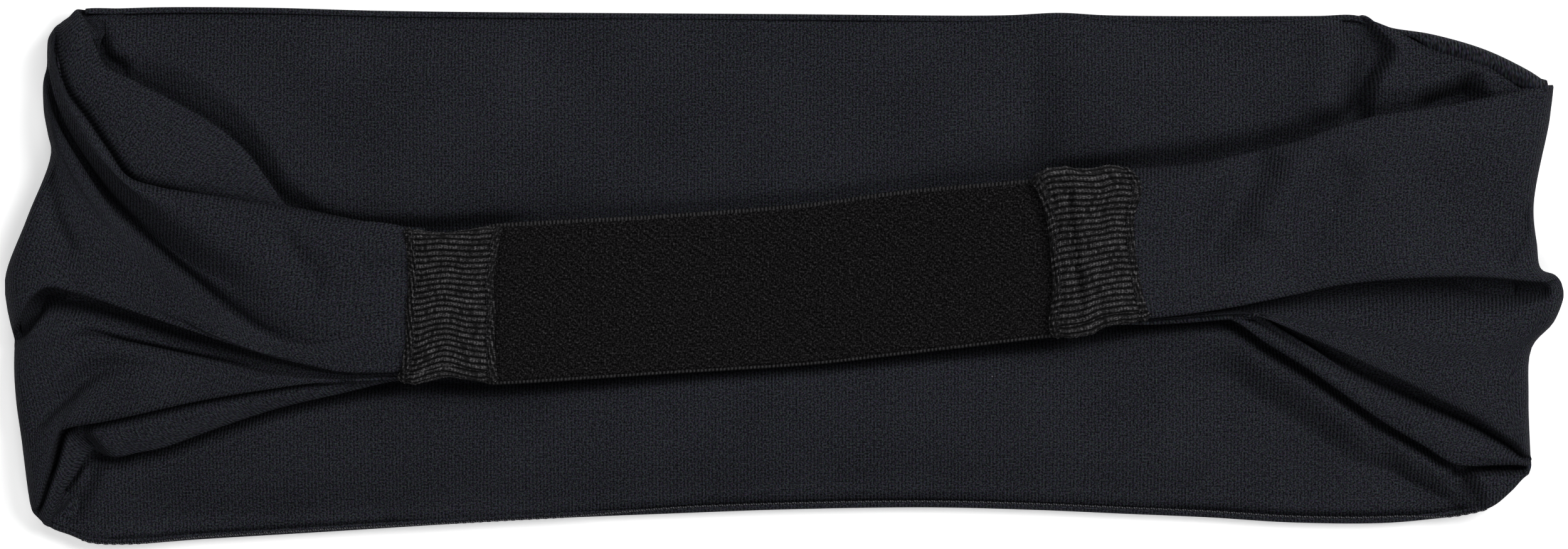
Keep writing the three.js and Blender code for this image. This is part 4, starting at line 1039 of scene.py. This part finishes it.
# The four sides of each cover in plan: left and right as x by y, crown and brow as y by x.
LEFT_COVER = {
    "left": [(-61.3, -17.2), (-60.4, -13.6), (-59.9, -10.2), (-59.9, -5.6), (-59.5, -1.3), (-59.6, 2),
             (-60.3, 7.9)],
    "right": [(-45.2, -17.4), (-45.5, -14.8), (-45.8, -10.2), (-45.7, -5), (-46, -2.6), (-45.7, 1.3),
              (-45.1, 5), (-44.5, 8.1)],
    "crown": [(-60.3, 7.9), (-56.4, 7.1), (-49, 7.5), (-44.5, 8.1)],
    "brow": [(-61.3, -17.2), (-59, -17.5), (-56.4, -16.9), (-53.3, -16.2), (-50.3, -16.6), (-45.2, -17.4)],
}
RIGHT_COVER = {
    "left": [(42.3, -10.4), (41.9, -7.9), (42.5, -2.5), (42.3, 1.9), (41.9, 6.4), (41, 10.8), (39, 15.5)],
    "right": [(58.2, -7.5), (57.1, -3.9), (56.2, 0.1), (55.7, 3.7), (55.5, 9.1), (56.6, 13.3), (55.5, 17.1)],
    "crown": [(39, 15.5), (41.4, 16.8), (48.6, 16.8), (51.3, 17.3), (55.5, 17.1)],
    "brow": [(42.3, -10.4), (47.7, -9.6), (51.3, -8.2), (58.2, -7.5)],
}


def cover_plan(shape, a, b):
    """Plan position in a cover: a from 0 to 1 along X, b from 0 at the brow side to 1 at the crown."""
    count = 60
    left, right, crown, brow = (evenly(smooth_line(shape[side]), count)[:, :2]
                                for side in ("left", "right", "crown", "brow"))

    def on(line, t):
        at = np.clip(t, 0, 1) * (count - 1)
        return np.stack([np.interp(at, np.arange(count), line[:, i]) for i in (0, 1)], -1)

    def between(start, end, t):
        return start * (1 - t)[..., None] + end * t[..., None]

    a, b = np.broadcast_arrays(a, b)
    sides = between(on(left, b), on(right, b), a)
    ends = between(on(brow, a), on(crown, a), b)
    corners = between(between(brow[0], brow[-1], a), between(crown[0], crown[-1], a), b)
    return sides + ends - corners


def wrap_section(count):
    """Once round a cover's section from its brow side over the top: b across it, z up it, and which way
    its surface faces. The middle of the corner moves along the flats, and the facing turns at corners."""
    half_width = COVER_WIDTH / 2 - COVER_CORNER
    half_height = (COVER_TOP - COVER_BOTTOM) / 2 - COVER_CORNER
    arc = math.pi * COVER_CORNER / 2
    ends = np.cumsum([0, *[2 * half_width, arc, 2 * half_height, arc] * 2])
    around = np.linspace(0, ends[-1], count, endpoint=False)
    facing = np.interp(around, ends, np.array([0, 0, 1, 1, 2, 2, 3, 3, 4]) * math.pi / 2)
    middle_y = np.interp(around, ends, np.array([-1, 1, 1, 1, 1, -1, -1, -1, -1]) * half_width)
    middle_z = np.interp(around, ends, np.array([1, 1, 1, -1, -1, -1, -1, 1, 1]) * half_height)
    ny, nz = np.sin(facing), np.cos(facing)
    y = middle_y + COVER_CORNER * ny
    z = (COVER_TOP + COVER_BOTTOM) / 2 + middle_z + COVER_CORNER * nz
    return around, y / COVER_WIDTH + 0.5, z, ny, nz


def rib_relief(along, around, end, seed):
    """Height of the rib knit: rounded ribs, each a row of small loops, unevenly knit, with the loops
    of an overlocked edge in disorder at both ends."""
    chance = np.random.default_rng(seed)
    size = np.where(chance.random((64, 64)) < 0.1, 0.1, chance.uniform(0.5, 1.0, (64, 64)))
    wander = 0.2 * lumps(along, around, 7, seed) + 0.12 * lumps(along, around, 2.2, seed + 1)
    rib = (around + wander) / RIB_PITCH
    which = np.floor(rib).astype(int)
    across = rib - which - 0.5
    rounded = np.clip(1 - (across / 0.46) ** 2, 0, 1) ** 0.5
    loop = along / LOOP_PITCH + which * 0.618 + 0.5 * np.abs(across)
    loop = loop + 0.5 * lumps(along, around, 1.6, seed + 2)
    number = np.floor(loop).astype(int)
    bead = np.abs(np.sin(loop * math.pi)) ** 0.5 * size[which % 64, number % 64]
    knit = rounded * (0.5 + 0.5 * bead)
    overlock = 0.5 + 1.1 * lumps(along * 1.6, around, 0.42, seed + 4)
    edge = 0.75 * smoothstep((1.5 - end) / 0.3)
    relief = knit * (1 - edge) + np.clip(overlock, 0, 1) * edge
    return 0.42 * relief + 0.05 * lumps(along, around, 0.7, seed + 3)


def make_cover(name, shape, wrinkle, bow, seed):
    """A sleeve of rib-knit tape round the join, with its ends turned in a little."""
    columns, count = 150, 560
    around, b, z, ny, nz = wrap_section(count)
    a = np.linspace(0, 1, columns)[:, None]
    plan = cover_plan(shape, a, b[None])
    length = np.linalg.norm(plan[-1, count // 8] - plan[0, count // 8])
    end = np.minimum(a, 1 - a) * length
    bowed = around - bow * np.exp(-(((a - 0.35) / 0.25) ** 2))
    relief = rib_relief(np.broadcast_to(a * length, bowed.shape), bowed, end, seed)
    turned_in = -0.7 * np.exp(-((end / 0.55) ** 2))
    stitched = -0.3 * np.exp(-(((end - 1.5) / 0.5) ** 2))
    swell = 0.35 * np.sin(a * math.pi) * nz.clip(0, 1)
    out = relief * np.exp(-0.03 / (end + 0.12)) + turned_in + stitched + wrinkle(a, b) + swell - 0.3

    def skin(height):
        return np.stack([plan[..., 0], plan[..., 1] + height * ny, z + height * nz], 2).reshape(-1, 3)

    vertices = np.concatenate([skin(out), skin(np.full(plan.shape[:2], -COVER_WALL))])
    uv = np.stack(np.broadcast_arrays(a * length, around), 2).reshape(-1, 2)
    under = columns * count
    seen = cells(columns, count, wrap=True)
    first = np.arange(count)
    faces = np.concatenate([seen, under + seen[:, FLIPPED], joined(first, under)[:, ::-1],
                            joined(under - count + first, under)])
    cover = new_object(f"{name}_rib_cover", vertices, faces.tolist(), np.concatenate([uv, uv]), RIB)
    # the tape's relief, which its material paints as highlight on the loops and shade between them
    set_values(cover, "relief", np.concatenate([(relief / relief.max()).ravel(), np.full(under, 0.5)]))
    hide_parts(f"{name}_cover")
    return cover


def left_wrinkle(a, b):
    """A shallow dent at the crown edge."""
    dent = np.exp(-(((a - 0.5 + 0.1 * (b - 0.5)) / 0.3) ** 2))
    return -0.5 * dent * np.exp(-(((b - 0.98) / 0.1) ** 2))


def right_wrinkle(a, b):
    """One crease across the ribs, a quarter of the way along, with a swelling beside it."""
    line = 0.27 + 0.06 * (1 - b)
    fade = smoothstep((b - 0.05) / 0.25) * smoothstep((0.95 - b) / 0.2)
    crease = -0.75 * np.exp(-(((a - line) / 0.03) ** 2)) * fade
    return crease + 0.25 * np.exp(-(((a - line - 0.09) / 0.05) ** 2))


def make_stitch_row(piece, node, shape, a, face, body):
    """A row of lockstitch along one end of a cover: dashes that stand on the ribs and dip between."""
    count = 480
    b = np.linspace(0.05, 0.95, count)
    plan = cover_plan(shape, np.full(count, a), b)
    phase = (b * COVER_WIDTH / STITCH_PITCH) % 1
    up = np.where(phase < 0.8, np.sin(np.clip(phase / 0.8, 0, 1) * math.pi) ** 0.35, 0)
    level = COVER_TOP - STITCH_DEPTH if face > 0 else COVER_BOTTOM + STITCH_DEPTH
    z = level + face * (0.46 * up - 0.25 * (1 - up))
    line = np.stack([plan[:, 0] + 0.05 * np.sin(b * 61), plan[:, 1], z], 1)
    row = tube_along(piece, line, 0.15, 7, THREAD)
    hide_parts(node)
    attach(row, body)


# ---- assembly ----

inner_panel = make_inner_panel()
outer_panel = make_outer_panel()
seam = make_seam()
for piece in (inner_panel, outer_panel, seam):
    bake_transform(piece)

left_outer, left_inner = make_wing("left", LEFT_GUIDES, -1)
right_outer, right_inner = make_wing("right", RIGHT_GUIDES, 1)
for piece in (left_outer, left_inner):
    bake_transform(piece)
for piece in (right_outer, right_inner):
    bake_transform(piece)

strap = make_elastic()
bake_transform(strap)

# for each cover: its plan and dent, how far its ribs bow in mm, its random seed, and its two stitch rows,
# each with its place as a share of the cover's length
for name, shape, wrinkle, bow, seed, ends in (
        ("left", LEFT_COVER, left_wrinkle, 0.8, 11, (("wing", 0.09), ("elastic", 0.91))),
        ("right", RIGHT_COVER, right_wrinkle, 0, 29, (("elastic", 0.09), ("wing", 0.91)))):
    body = f"strap_{name}"
    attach(make_cover(name, shape, wrinkle, bow, seed), body)
    for end, a in ends:
        for thread, face in (("needle", 1), ("bobbin", -1)):
            make_stitch_row(f"{name}_{end}_{thread}_row", f"{name}_cover_{end}_side_{thread}_thread",
                            shape, a, face, body)
    join_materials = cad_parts[f"{name}_join_stitching"].data.materials
    join_materials.clear()
    join_materials.append(THREAD)

# ---- table, light and camera ----


def make_table():
    """A wide plain surface just under the band."""
    mesh = bpy.data.meshes.new("table")
    half, top = 3.0, -0.0004
    corners = [(-half, -half, top), (half, -half, top), (half, half, top), (-half, half, top)]
    mesh.from_pydata(corners, [], [(0, 1, 2, 3)])
    mesh.materials.append(table_material())
    table = bpy.data.objects.new("table", mesh)
    bpy.context.scene.collection.objects.link(table)


def make_light():
    """Four soft boxes round the table, about 40 degrees off the vertical, and a little light from all
    round. The box at the right, towards the crown edge, is the strong one."""
    world = bpy.data.worlds.new("studio")
    world.use_nodes = True
    background = world.node_tree.nodes["Background"]
    background.inputs["Color"].default_value = (1, 1, 1, 1)
    background.inputs["Strength"].default_value = 0.1
    bpy.context.scene.world = world
    for x, y, watts in ((0.85, 0.45, 11.4), (-0.85, 0.1, 2.7), (-0.2, 0.85, 3.2), (0.15, -0.85, 4.3)):
        lamp = bpy.data.lights.new("soft_box", "AREA")
        lamp.shape = "RECTANGLE"
        lamp.size = lamp.size_y = 0.7
        lamp.energy = watts
        box = bpy.data.objects.new("soft_box", lamp)
        box.location = (x, y, 1.0)
        box.rotation_euler = (-box.location).to_track_quat("-Z", "Y").to_euler()
        bpy.context.scene.collection.objects.link(box)


def make_camera():
    """Straight above, its long side along X, with the band filling the width of the frame."""
    camera = bpy.data.cameras.new("camera")
    camera.lens = 135
    camera.sensor_width = 36
    seen_width, seen_height = 0.250, 0.0035  # what fills the frame, and how high above the table
    holder = bpy.data.objects.new("camera", camera)
    holder.location = (0, 0, seen_height + seen_width * camera.lens / camera.sensor_width)
    camera.clip_end = 20
    bpy.context.scene.collection.objects.link(holder)
    bpy.context.scene.camera = holder


make_table()
make_light()
make_camera()

bpy.context.scene.view_settings.view_transform = "Standard"
bpy.context.scene.view_settings.gamma = 0.72
